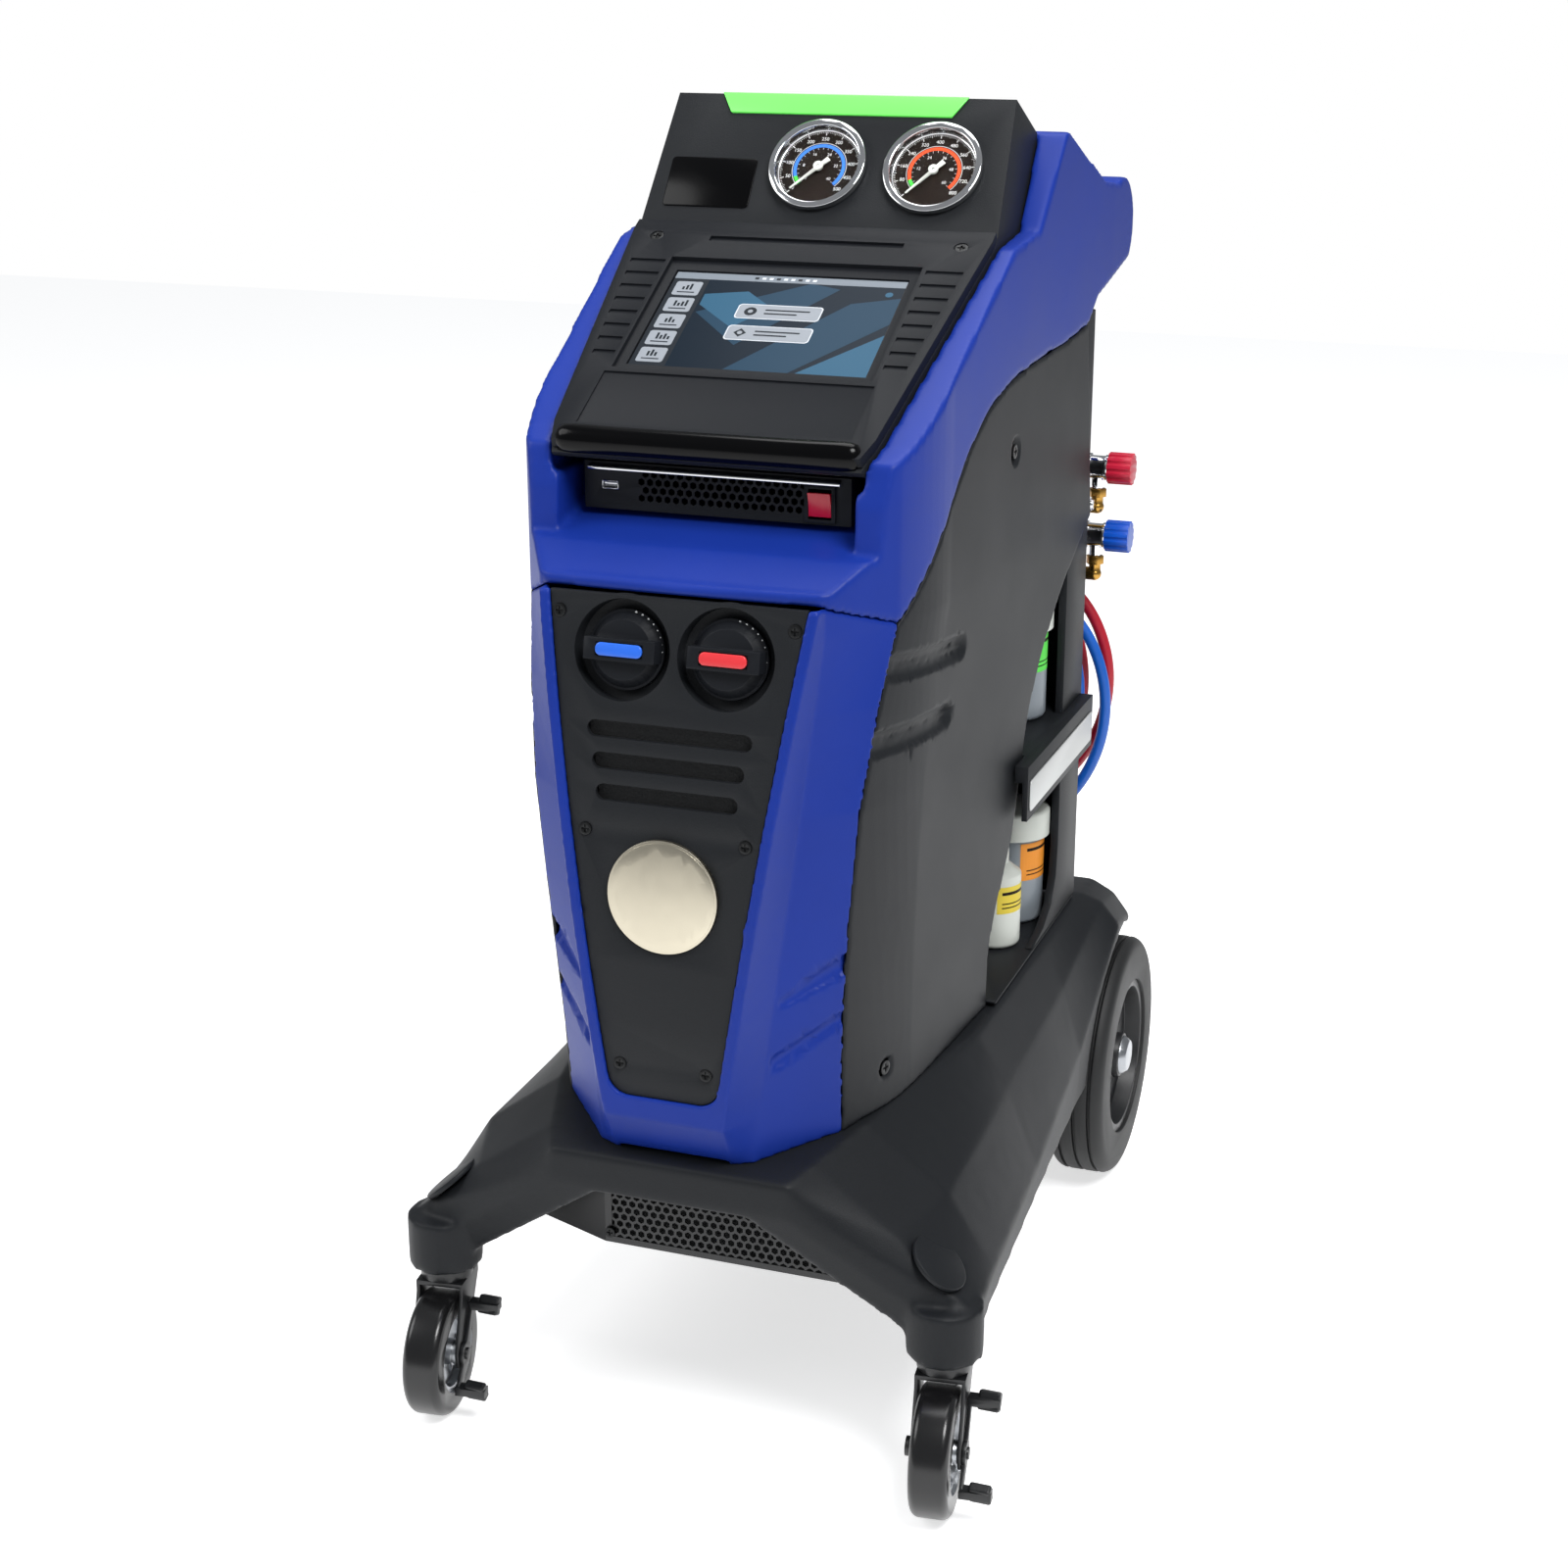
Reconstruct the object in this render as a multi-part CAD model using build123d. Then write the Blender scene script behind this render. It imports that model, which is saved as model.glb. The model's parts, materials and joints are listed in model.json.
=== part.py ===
from build123d import *
from math import asin, atan2, cos, degrees, pi, radians, sin, sqrt, tan
import os

# Air conditioning recharge station: a wheeled cabinet with a tilted display hood.
# Millimetres. X is across (the user's right is +X), Y is front to back, Z is up.
# The model is drawn with the caster stems at y = 0 and the floor at z = 0,
# and the whole is shifted at the end so that its middle stands over the origin.

# Clearances
GAP = 0.3              # between pieces that move past each other
RUNNING = 0.05         # radial clearance of a running fit
SEAM = 0.5             # visible joint line between two mouldings
WALL = 5.0             # wall of the large mouldings
PANEL_SKIN = 4.0       # wall of the side panels
SHEET = 2.0            # sheet metal

# Cabinet levels
BASE_TOP = 277.0       # front foot of the fascia
SEAM_MIDDLE = 723.0    # joint between fascia and cowl at the middle
SEAM_SIDE = 700.0      # the same joint at the cabinet's front corners
FLOOR_BAY = 300.0      # floor of the side bays
SHELF_TOP = 505.0      # shelf in the side bays
SHELF_THICK = 15.0
BAY_TOP = 864.0
REAR_FACE = 590.0      # back face of the rear panel
HEAD_TOP = 1066.0      # top front edge of the gauge hood

# Body plan
CREASE_LOW = (65.0, -17.0)
CREASE_HIGH = (114.0, 8.0)
CORNER_LOW = (119.0, 45.0)
CORNER_HIGH = (153.0, 66.0)
REAR_HALF = 179.0

# Front panel
PANEL_TOP_HALF = 104.0
PANEL_FOOT_HALF = 44.0
PANEL_FOOT = 331.0
PANEL_THICK = 4.0
PANEL_CURVE = ((0.0, 725.0), (-32.3, 544.0), (-43.0, 335.0))
KNOB_X, KNOB_Z, DISH_R, DISH_DEPTH = 42.0, 682.0, 39.0, 15.0
KNOB_R, KNOB_H = 31.0, 14.0
PANEL_SCREWS = [(side * half, z) for half, z in ((95.0, 707.0), (65.5, 544.0), (36.0, 357.0))
                for side in (1, -1)]
VENTS = ((67.0, 622.0), (62.0, 598.0), (58.0, 574.0))
VENT_H = 13.0
EMBLEM_Z, EMBLEM_R, EMBLEM_T = 498.0, 45.0, 4.0

# Display hood
BEZEL_SLOPE = 1 / 1.8095
BEZEL_ZERO = 1444.5
BEZEL_FRONT, BEZEL_BACK = 60.0, 303.0
BEZEL_FRONT_HALF, BEZEL_BACK_HALF = 131.0, 157.0
BEZEL_T = 8.0
GAUGE_FOOT = (309.0, 964.0)
GAUGE_HEAD = (383.0, HEAD_TOP)
HEAD_BACK = (445.0, 1035.0)
GAUGE_X = (-9.0, 91.0)
GAUGE_UP = 58.0        # gauge centre above the foot of the gauge face, along the face
GAUGE_R, DIAL_R = 42.0, 36.0
SCREEN_HALF, SCREEN_LOW, SCREEN_HIGH = 100.0, 140.0, 250.0
RECESS_HALF, RECESS_LOW, RECESS_HIGH = 108.0, 132.0, 261.0

# Printer module
PRINTER_HALF, PRINTER_Y, PRINTER_LOW, PRINTER_HIGH = 110.0, 80.0, 769.0, 806.0

# Casters
CASTER_X, CASTER_Y, CASTER_TOP = 220.0, 0.0, 128.0
CASTER_R, CASTER_W, CASTER_TRAIL = 53.5, 32.0, 24.0
CASTER_TURN = 7.0      # degrees that each fork stands turned
FORK_T = 3.0

# Rear wheels
WHEEL_Y, WHEEL_R, WHEEL_W, WHEEL_OUT = 622.0, 120.0, 56.0, 229.0
AXLE_R = 10.0

# Coupler dock
COUPLER_Y, COUPLER_LOW_Z, COUPLER_HIGH_Z = 622.0, 653.0, 718.0
HOSE_D = 11.0

# Bottles
BOTTLE_R, BOTTLE_H, CAP_R, CAP_H = 30.0, 112.0, 35.0, 27.0
DYE_R, DYE_H = 24.0, 96.0


def side_prism(points, x_low, x_high):
    face = make_face(Polyline(*[(x_low, y, z) for y, z in points], close=True))
    return extrude(face, amount=x_high - x_low, dir=(1, 0, 0))


def front_prism(points, y_low, y_high):
    face = make_face(Polyline(*[(x, y_low, z) for x, z in points], close=True))
    return extrude(face, amount=y_high - y_low, dir=(0, 1, 0))


def plan_prism(points, z_low, z_high):
    face = make_face(Polyline(*[(x, y, z_low) for x, y in points], close=True))
    return extrude(face, amount=z_high - z_low, dir=(0, 0, 1))


def block(x_low, x_high, y_low, y_high, z_low, z_high):
    size = (x_high - x_low, y_high - y_low, z_high - z_low)
    middle = ((x_low + x_high) / 2, (y_low + y_high) / 2, (z_low + z_high) / 2)
    return Pos(*middle) * Box(*size)


def rod(start, direction, radius, length):
    plane = Plane(origin=start, z_dir=direction)
    return plane * Cylinder(radius, length, align=(Align.CENTER, Align.CENTER, Align.MIN))


def mirrored(shape):
    return mirror(shape, about=Plane.YZ)


def both_sides(points):
    return list(points) + [(-x, z) for x, z in reversed(points)]


def group(solids):
    return Compound([solid for shape in solids for solid in shape.solids()])


def solids_of(shape):
    return list(shape.solids())


def rounded(shape, edges, radius):
    try:
        return fillet(edges, radius)
    except Exception:
        return shape


# Shared curves of the cabinet
def level(z):
    return min(max((z - 280.0) / 420.0, 0.0), 1.0)


def crease(z):
    t = level(z)
    return (CREASE_LOW[0] + t * (CREASE_HIGH[0] - CREASE_LOW[0]),
            CREASE_LOW[1] + t * (CREASE_HIGH[1] - CREASE_LOW[1]))


def corner(z):
    t = level(z)
    x = CORNER_LOW[0] + t ** 1.6 * (CORNER_HIGH[0] - CORNER_LOW[0])
    flare = max(t - 0.667, 0.0) / 0.333
    y = CORNER_LOW[1] - 17.0 * sin(pi * t / 1.095) + flare ** 1.5 * 26.0
    return x, y


def flank(z):
    t = level(z)
    x, y = corner(z)
    second = (x + 29.0 - 15.0 * t * t, y + 90.0)
    first = (x + 14.0 - 5.0 * t, y + 32.0)
    return (x, y), first, second, (166.0 + 8.0 * t, 320.0), (REAR_HALF + 2.0 * t, 620.0)


def panel_front():
    return ThreePointArc(*[(0, y, z) for y, z in PANEL_CURVE])


def panel_y(z):
    (y0, z0), (y1, z1), (y2, z2) = PANEL_CURVE
    a = (y0 - y1) / (z0 - z1)
    b = (y1 - y2) / (z1 - z2)
    return y1 + a * (z - z1) + (a - b) / (z0 - z2) * (z - z1) * (z - z0)


def panel_half(z):
    share = (z - PANEL_FOOT) / (SEAM_MIDDLE - PANEL_FOOT)
    return PANEL_FOOT_HALF + share * (PANEL_TOP_HALF - PANEL_FOOT_HALF)


def bezel_z(y):
    return (y + BEZEL_ZERO) * BEZEL_SLOPE


def bezel_half(y):
    share = (y - BEZEL_FRONT) / (BEZEL_BACK - BEZEL_FRONT)
    return BEZEL_FRONT_HALF + share * (BEZEL_BACK_HALF - BEZEL_FRONT_HALF)


BEZEL_TILT = atan2(BEZEL_SLOPE, 1.0)
BEZEL_NORMAL = (0, -sin(BEZEL_TILT), cos(BEZEL_TILT))
GAUGE_LEAN = atan2(GAUGE_HEAD[0] - GAUGE_FOOT[0], GAUGE_HEAD[1] - GAUGE_FOOT[1])
GAUGE_NORMAL = (0, -cos(GAUGE_LEAN), sin(GAUGE_LEAN))
PANEL_LEAN = atan2(panel_y(KNOB_Z + 5) - panel_y(KNOB_Z - 5), 10.0)
KNOB_NORMAL = (0, -cos(PANEL_LEAN), sin(PANEL_LEAN))


def on_gauge(x, up, out=0.0):
    return (x, GAUGE_FOOT[0] + up * sin(GAUGE_LEAN) - out * cos(GAUGE_LEAN),
            GAUGE_FOOT[1] + up * cos(GAUGE_LEAN) + out * sin(GAUGE_LEAN))


def on_bezel(x, y, out=0.0):
    return (x, y - out * sin(BEZEL_TILT), bezel_z(y) + out * cos(BEZEL_TILT))


def on_knob(x, out=0.0):
    return (x, panel_y(KNOB_Z) - out * cos(PANEL_LEAN), KNOB_Z + out * sin(PANEL_LEAN))


def shoulder_curve():
    # Joint between the blue cowl and the black side panel, seen from the side
    return ((66.0, 700.0), (148.0, 769.0), (219.0, 822.0), (370.0, 854.0), (540.0, BAY_TOP))


# Base moulding
def base_outline(inset):
    down = inset
    rows = (
        (-38.0, (100, 270), (101, 262), (102, 252), (102, 242)),
        (-8.0, (112, BASE_TOP - 1), (182, 226), (249, 169), (247, 140)),
        (60.0, (135, 286), (204, 235), (243, 172), (240, 140)),
        (250.0, (172, 292), (200, 242), (230, 172), (228, 140)),
        (450.0, (178, 297), (200, 258), (219, 195), (217, 140)),
        (600.0, (179, 297), (200, 290), (219, 268), (216, 140)),
        (680.0, (172, 284), (195, 272), (212, 250), (209, 140)),
        (716.0, (150, 240), (158, 234), (163, 226), (163, 140)),
    )
    faces = []
    for y, hump, middle, edge, foot in rows:
        if down and y < 0:
            continue
        low = foot[1] - (20 if down else 0)
        right = [(hump[0] - down, hump[1] - down), (middle[0] - down, middle[1] - down),
                 (edge[0] - down, edge[1] - down / 2), (foot[0] - down, low)]
        shift = -down if y > 700 else 0
        faces.append(make_face(Polyline(*[(x, y + shift, z) for x, z in both_sides(right)], close=True)))
    return loft(faces, ruled=True)


def wheel_arch(side):
    start = side * (WHEEL_OUT - WHEEL_W - 7)
    return rod((start, WHEEL_Y, WHEEL_R), (side, 0, 0), WHEEL_R + 14, 80)


def make_base():
    base = base_outline(0)
    front = [(64, 236), (178, 154), (196, 139), (196, 100)]
    base -= front_prism(both_sides(front), -80, 62)
    base -= base_outline(6.0) & block(-300, 300, 61, 720, 60, 320)
    for side in (1, -1):
        wall = block(min(side * 160, side * 166), max(side * 160, side * 166), 470, 716, 140, 280)
        base += wall & base_outline(0)
        base -= wheel_arch(side)
        base -= leg_plug(side, 0.2)
        boss = Pos(side * CASTER_X, CASTER_Y, CASTER_TOP) * Cylinder(
            31, 46, align=(Align.CENTER, Align.CENTER, Align.MIN))
        base += boss
        base -= Pos(side * CASTER_X, CASTER_Y, CASTER_TOP - 1) * Cylinder(
            8, 42, align=(Align.CENTER, Align.CENTER, Align.MIN))
        ear = (min(side * 140, side * 166), max(side * 140, side * 166))
        base += block(ear[0], ear[1], WHEEL_Y - 18, WHEEL_Y + 18, WHEEL_R - 20, 250)
    base -= rod((-170, WHEEL_Y, WHEEL_R), (1, 0, 0), AXLE_R, 340)
    return max(solids_of(base), key=lambda s: s.volume)


def leg_plug(side, grow=0.0):
    place = Plane(origin=(side * 212, 4, 202.5), z_dir=(side * 0.65, -0.03, 0.76)).offset(-3)
    return place * Cylinder(26 + grow, 4.2, align=(Align.CENTER, Align.CENTER, Align.MIN))


# Perforated sheet in the front of the base
GRILLE_Y = 20.0
HEX_PITCH, HEX_R = 11.0, 4.3


def make_grille():
    outline = [(-81, 222.5), (-63, 236), (63, 236), (166, 160), (-81, 160)]
    sheet = front_prism(outline, GRILLE_Y, GRILLE_Y + SHEET)
    holes = []
    for row in range(6):
        z = 223 - row * HEX_PITCH * 0.866
        for column in range(24):
            x = -72 + column * HEX_PITCH + (row % 2) * HEX_PITCH / 2
            if x < 64 + (235 - z) * 1.387 - 26:
                holes.append((x, z))
    cutter = Sketch() + [Pos(x, z) * RegularPolygon(HEX_R, 6, rotation=30) for x, z in holes]
    plane = Plane(origin=(0, GRILLE_Y + SHEET, 0), x_dir=(1, 0, 0), z_dir=(0, -1, 0))
    sheet -= extrude(plane * cutter, amount=SHEET + 1)
    wing = Polyline((-81, GRILLE_Y), (-160, 50), (-160, 50 + SHEET), (-81, GRILLE_Y + SHEET), close=True)
    wing = extrude(make_face(Pos(0, 0, 160) * wing), amount=70, dir=(0, 0, 1))
    wing &= front_prism([(-81, 221), (-81, 160), (-162, 160)], 0, 80)
    return sheet + wing


def screw(place, normal, radius, height=2.0):
    head = rod(place, normal, radius, height)
    plane = Plane(origin=place, z_dir=normal).offset(height * 0.4)
    slot = plane * Box(radius * 1.2, radius * 0.3, height * 2, align=(Align.CENTER, Align.CENTER, Align.MIN))
    cross = plane * Box(radius * 0.3, radius * 1.2, height * 2, align=(Align.CENTER, Align.CENTER, Align.MIN))
    return head - slot - cross


# Lower fascia: raised frame round the front panel, a crease, then a flank to the corner
def fascia_section(z, inset):
    frame_half = panel_half(max(z, 312)) + 9 - inset
    cx, cy = crease(z)
    ox, oy = corner(z)
    share = min(max((z - 270.0) / 42.0, 0.0), 1.0)
    front = (1 - share) * (cy - 3) + share * (panel_y(max(z, 312)) - 3) + inset
    step = PANEL_SKIN + 0.6
    if inset:
        right = [(frame_half, front), (cx - inset * 0.6, cy + inset), (ox - step - inset, oy + inset * 0.6),
                 (ox - step - inset, oy + inset), (ox - step - inset, 130)]
    else:
        right = [(frame_half, front), (cx, cy), (ox, oy), (ox - step, oy + 0.1), (ox - step, 97)]
    points = right + [(-x, y) for x, y in reversed(right)]
    return make_face(Polyline(*[(x, y, z) for x, y in points], close=True))


def seam_roof(rise):
    return front_prism(both_sides([(112, SEAM_MIDDLE + rise), (153, SEAM_SIDE + rise),
                                   (260, 634 + rise), (260, 1200)]), -120, 900)


def panel_outline(grow):
    foot = PANEL_FOOT - grow
    top = SEAM_MIDDLE + (grow * 2 if grow else -SEAM)
    low, high = panel_half(foot) + grow, panel_half(top) + grow
    face = make_face(Polyline((low, 0, foot), (high, 0, top), (-high, 0, top), (-low, 0, foot), close=True))
    corners = face.vertices().sort_by(Axis.Z)[:2]
    return extrude(fillet(corners, 18), amount=120, both=True, dir=(0, 1, 0))


def make_fascia(base):
    heights = (270, 312, 345, 406, 480, 560, 640, 700, 740)
    outer = loft([fascia_section(z, 0) for z in heights], ruled=True)
    inner = loft([fascia_section(z, WALL) for z in (260,) + heights[1:-1] + (760,)], ruled=True)
    shell = outer - inner
    shell -= side_prism([(CORNER_LOW[1] + 40, 200), (CORNER_LOW[1] + 40, 800), (200, 800), (200, 200)], -250, 250)
    shell -= seam_roof(0)
    seat = panel_slab(PANEL_THICK + 3.2, 3) & panel_outline(SEAM)
    shell -= seat
    opening = panel_outline(-10)
    shell -= opening
    for side in (1, -1):
        for low_z in (359.0, 409.0):
            groove = rod((side * 90, -16, low_z), (side * 42, 42, 27), 4.5, 52)
            shell -= groove
    shell -= base
    return max(solids_of(shell), key=lambda s: s.volume)


def panel_slab(thick, proud):
    points = PANEL_CURVE
    front = ThreePointArc(*[(0, y - proud, z) for y, z in points])
    back = ThreePointArc(*[(0, y + thick - proud, z) for y, z in reversed(points)])
    low = Line((0, points[-1][0] - proud, points[-1][1]), (0, points[-1][0] - proud, points[-1][1] - 40))
    low_back = Line((0, points[-1][0] + thick - proud, points[-1][1] - 40),
                    (0, points[-1][0] + thick - proud, points[-1][1]))
    foot = Line(low @ 1, low_back @ 0)
    top = Line((0, points[0][0] + thick - proud, points[0][1]), (0, points[0][0] - proud, points[0][1]))
    face = make_face([front, low, foot, low_back, back, top])
    return extrude(face, amount=150, both=True, dir=(1, 0, 0))


def make_front_panel():
    panel = panel_slab(PANEL_THICK, 0) & panel_outline(0)
    for x in (-KNOB_X, KNOB_X):
        cup = rod(on_knob(x, -DISH_DEPTH - 3), KNOB_NORMAL, DISH_R + 4, DISH_DEPTH + 1.5)
        panel += cup
    for x in (-KNOB_X, KNOB_X):
        panel -= rod(on_knob(x, -DISH_DEPTH), KNOB_NORMAL, DISH_R, DISH_DEPTH + 20)
    for half, z in VENTS:
        plane = Plane(origin=(0, 40, z), x_dir=(1, 0, 0), z_dir=(0, -1, 0))
        panel -= extrude(plane * SlotOverall(2 * half, VENT_H), amount=120)
    panel -= rod((0, panel_y(EMBLEM_Z) + 1.2, EMBLEM_Z), (0, -1, 0.06), EMBLEM_R + SEAM, 20)
    for x, z in PANEL_SCREWS:
        panel -= rod((x, panel_y(z) + 1.6, z), (0, -1, 0.15), 5.2, 10)
    return max(solids_of(panel), key=lambda s: s.volume)


def make_vent_slats():
    slats = []
    for half, z in VENTS:
        y = panel_y(z) + PANEL_THICK
        slats.append(block(-half, half, y + 2.0, y + 4.0, z - VENT_H / 2 - 3, z + VENT_H / 2 + 3))
    return slats


def panel_screws():
    return [screw((x, panel_y(z) + 1.6, z), (0, -1, 0.15), 5.0, 2.4) for x, z in PANEL_SCREWS]


def make_emblem():
    place = (0, panel_y(EMBLEM_Z) + 1.2, EMBLEM_Z)
    disc = rod(place, (0, -1, 0.06), EMBLEM_R, EMBLEM_T)
    dome = Plane(origin=place, z_dir=(0, -1, 0.06)).offset(EMBLEM_T + 3 - 340) * Sphere(340)
    cap = rod(place, (0, -1, 0.06), EMBLEM_R - 2, EMBLEM_T + 6) & dome
    return disc + cap


# Valve knobs: a round skirt with a raised grip bar that holds a coloured insert
def make_knob(x):
    start = on_knob(x, -DISH_DEPTH + GAP)
    skirt = rod(start, KNOB_NORMAL, KNOB_R, 6)
    crown = Plane(origin=start, z_dir=KNOB_NORMAL).offset(6) * Cone(
        KNOB_R - 2, KNOB_R - 8, 8, align=(Align.CENTER, Align.CENTER, Align.MIN))
    plane = Plane(origin=start, x_dir=(1, 0, 0), z_dir=KNOB_NORMAL).offset(6)
    bar = plane * Box(2 * KNOB_R - 4, 17, 15, align=(Align.CENTER, Align.CENTER, Align.MIN))
    bar &= rod(start, KNOB_NORMAL, KNOB_R - 1, 60)
    seat = plane.offset(15 - 1.5) * Box(38.6, 10.6, 6, align=(Align.CENTER, Align.CENTER, Align.MIN))
    return skirt + crown + bar - seat


def make_knob_insert(x):
    start = on_knob(x, -DISH_DEPTH + GAP)
    plane = Plane(origin=start, x_dir=(1, 0, 0), z_dir=KNOB_NORMAL).offset(6 + 15 - 1.5)
    bar = plane * Box(38, 10, 3, align=(Align.CENTER, Align.CENTER, Align.MIN))
    return rounded(bar, bar.edges().filter_by(Axis((0, 0, 0), KNOB_NORMAL)), 4.5)


# Side panels: a thin skin that follows the cabinet's plan, cut to its outline
def flank_section(z, inset):
    p0, p1, p2, p3, p4 = flank(z)
    shift = inset

    def at(point):
        return (point[0] - shift, point[1], z)
    one = ThreePointArc(at(p0), at(p1), at(p2))
    two = ThreePointArc(at(p2), at(p3), (p4[0] - shift, p4[1], z))
    lead, tail = (25.0, 30.0) if inset else (0.5, 0.5)
    front = (p0[0] - shift - lead * 0.4, p0[1] - lead, z)
    three = Polyline((p4[0] - shift, p4[1], z), (p4[0] - shift, p4[1] + tail, z), (0, p4[1] + tail, z),
                     (0, p0[1] - lead, z), front, at(p0))
    return make_face([one, two, three])


def cabinet_core(inset):
    heights = (262, 345, 410, 480, 560, 630, 700, 900)
    return loft([flank_section(z, inset) for z in heights], ruled=True)


def skin_x(y, z):
    (ax, ay), (bx, by), (cx, cy) = [point[:2] for point in flank(z)[:3]]
    a, b, c = ax * ax + ay * ay, bx * bx + by * by, cx * cx + cy * cy
    twice = 2 * (ax * (by - cy) + bx * (cy - ay) + cx * (ay - by))
    mid_x = (a * (by - cy) + b * (cy - ay) + c * (ay - by)) / twice
    mid_y = (a * (cx - bx) + b * (ax - cx) + c * (bx - ax)) / twice
    radius = sqrt((ax - mid_x) ** 2 + (ay - mid_y) ** 2)
    return mid_x + sqrt(radius ** 2 - (y - mid_y) ** 2)


def side_outline():
    curve = [(0, y, z) for y, z in shoulder_curve()]
    front = [(0, corner(z)[1] + SEAM, z) for z in (262, 345, 410, 480, 560, 630)]
    edge = Spline(*curve)
    bay = Spline((0, 575, 682), (0, 528, 660), (0, 444, 607), (0, 384, 532), (0, 352, 433), (0, 314, 373),
                 (0, 303, 318))
    lines = [edge, Line(curve[-1], (0, 575, 682)), bay,
             Polyline((0, 303, 318), (0, 303, 262), *front, curve[0])]
    return extrude(make_face(lines), amount=230, dir=(1, 0, 0))


SEAT_DEPTH = 2.5


def side_screw_places():
    return ((166 + 8 * level(788), 318, 788, 0.04), (skin_x(92, 322), 92, 322, 0.3))


def make_side_panel(base, fascia):
    skin = cabinet_core(0) - cabinet_core(PANEL_SKIN)
    panel = skin & side_outline()
    for low_y, high_y, low_z, high_z in ((66, 205, 667, 651), (54, 180, 611, 602)):
        shares = [i / 4 for i in range(5)]
        points = [(low_y + (high_y - low_y) * t, low_z + (high_z - low_z) * t) for t in shares]
        path = Spline(*[(skin_x(y, z) + 3.6, y, z) for y, z in points])
        panel -= sweep(Plane(origin=path @ 0, z_dir=path % 0) * Circle(5.6), path=path)
    for x, y, z, tilt in side_screw_places():
        panel -= rod((x - SEAT_DEPTH, y, z), (1, -tilt, 0), 9.5, 20)
    panel -= base
    return max(solids_of(panel), key=lambda s: s.volume)


# Display hood and gauge panel
def hood_sides(inset):
    plan = plan_prism([(0, 30), (BEZEL_FRONT_HALF - 8 - inset, 46), (BEZEL_FRONT_HALF - inset, BEZEL_FRONT + 12),
                       (BEZEL_BACK_HALF - inset, BEZEL_BACK), (BEZEL_BACK_HALF + 1 - inset, 446),
                       (0, 446)], 700, 1100)
    plan += mirrored(plan)
    top = front_prism(both_sides([(BEZEL_BACK_HALF - 1 - inset, GAUGE_FOOT[1]),
                                  (149 - inset, HEAD_TOP + 1)])
                      + [(-BEZEL_BACK_HALF + inset - 1, 700), (BEZEL_BACK_HALF - inset + 1, 700)], 0, 500)
    return plan & top


def hood_profile(inset):
    y_front = BEZEL_FRONT
    plane = BEZEL_T / cos(BEZEL_TILT) + inset
    points = [(y_front - 6 + inset, bezel_z(y_front) - plane - 6), (y_front - 2 + inset, 813 + inset),
              (y_front + 16, PRINTER_HIGH + 2.5 + inset), (y_front + 34, PRINTER_HIGH + 3 + inset),
              (254 - inset, PRINTER_HIGH + 3 + inset), (296 - inset, 868 + inset), (HEAD_BACK[0] - inset, 940),
              (HEAD_BACK[0] - inset, HEAD_BACK[1] - inset), (GAUGE_HEAD[0] + inset * 0.4, HEAD_TOP - inset),
              (GAUGE_FOOT[0] + inset, GAUGE_FOOT[1] - inset * 0.4), (BEZEL_BACK, bezel_z(BEZEL_BACK) - plane),
              (y_front + inset, bezel_z(y_front) - plane)]
    return points


def make_hood():
    hood = side_prism(hood_profile(0), -200, 200) & hood_sides(0)
    hollow = side_prism(hood_profile(3.5), -200, 200) & hood_sides(3.5)
    hood -= hollow
    lamp_cut = lamp_shape(0.2)
    hood -= lamp_cut
    for x in GAUGE_X:
        hood -= rod(on_gauge(x, GAUGE_UP, -8), GAUGE_NORMAL, GAUGE_R - 3.5, 30)
    return max(solids_of(hood), key=lambda s: s.volume)


def lamp_shape(grow):
    y, z = GAUGE_HEAD
    up = (y - GAUGE_FOOT[0]) / (z - GAUGE_FOOT[1])
    strip = side_prism([(y - 14 * up - 3 * cos(GAUGE_LEAN), z - 14), (y - 1 * up, z + 1.5), (y + 22, z - 9),
                        (y + 20, z - 15), (y + 3, z - 8), (y - 14 * up + 3, z - 18)], -150, 150)
    outline = front_prism(both_sides([(97 + grow, z - 15 - grow), (114 + grow, z + 8)])
                          + [(-97 - grow, z - 19 - grow), (97 + grow, z - 19 - grow)], 300, 500)
    return strip & outline


def make_lamp():
    return lamp_shape(0)


def bezel_slab(out_low, out_high, y_low, y_high, half):
    low = [on_bezel(0, y_low, out_low), on_bezel(0, y_high, out_low),
           on_bezel(0, y_high, out_high), on_bezel(0, y_low, out_high)]
    return side_prism([(y, z) for _, y, z in low], -half, half)


def make_bezel():
    slab = bezel_slab(-BEZEL_T + 0.2, 0, BEZEL_FRONT - 8, BEZEL_BACK + 2, 200) & hood_sides(0.2)
    slab -= side_prism([(GAUGE_FOOT[0] - 0.5, 900), (GAUGE_FOOT[0] + 60, 900), (GAUGE_FOOT[0] + 60, 1100),
                        (GAUGE_FOOT[0] - 0.5, GAUGE_FOOT[1])], -200, 200)
    slab -= bezel_slab(-BEZEL_T - 2, 10, SCREEN_LOW, SCREEN_HIGH, SCREEN_HALF)
    slab -= bezel_slab(-4.0, 10, RECESS_LOW, RECESS_HIGH, RECESS_HALF)
    slab -= bezel_slab(-2.5, 10, 282, 288, 84)
    pad = bezel_slab(-1.5, 10, 71, 127, 112)
    slab -= pad
    for side in (1, -1):
        for rib in range(8):
            y = 255 - rib * 15.3
            outer = 143 - rib * 1.7
            slab -= bezel_slab(-1.6, 5, y - 2.2, y + 2.2, 200) & block(
                min(side * 112, side * outer), max(side * 112, side * outer), 0, 400, 700, 1100)
        slab -= rod(on_bezel(side * 132, 286, -3), BEZEL_NORMAL, 6, 10)
    return max(solids_of(slab), key=lambda s: s.volume)


def make_screen():
    return bezel_slab(-BEZEL_T + 0.4, -5.5, SCREEN_LOW + GAP, SCREEN_HIGH - GAP, SCREEN_HALF - GAP)


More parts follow.
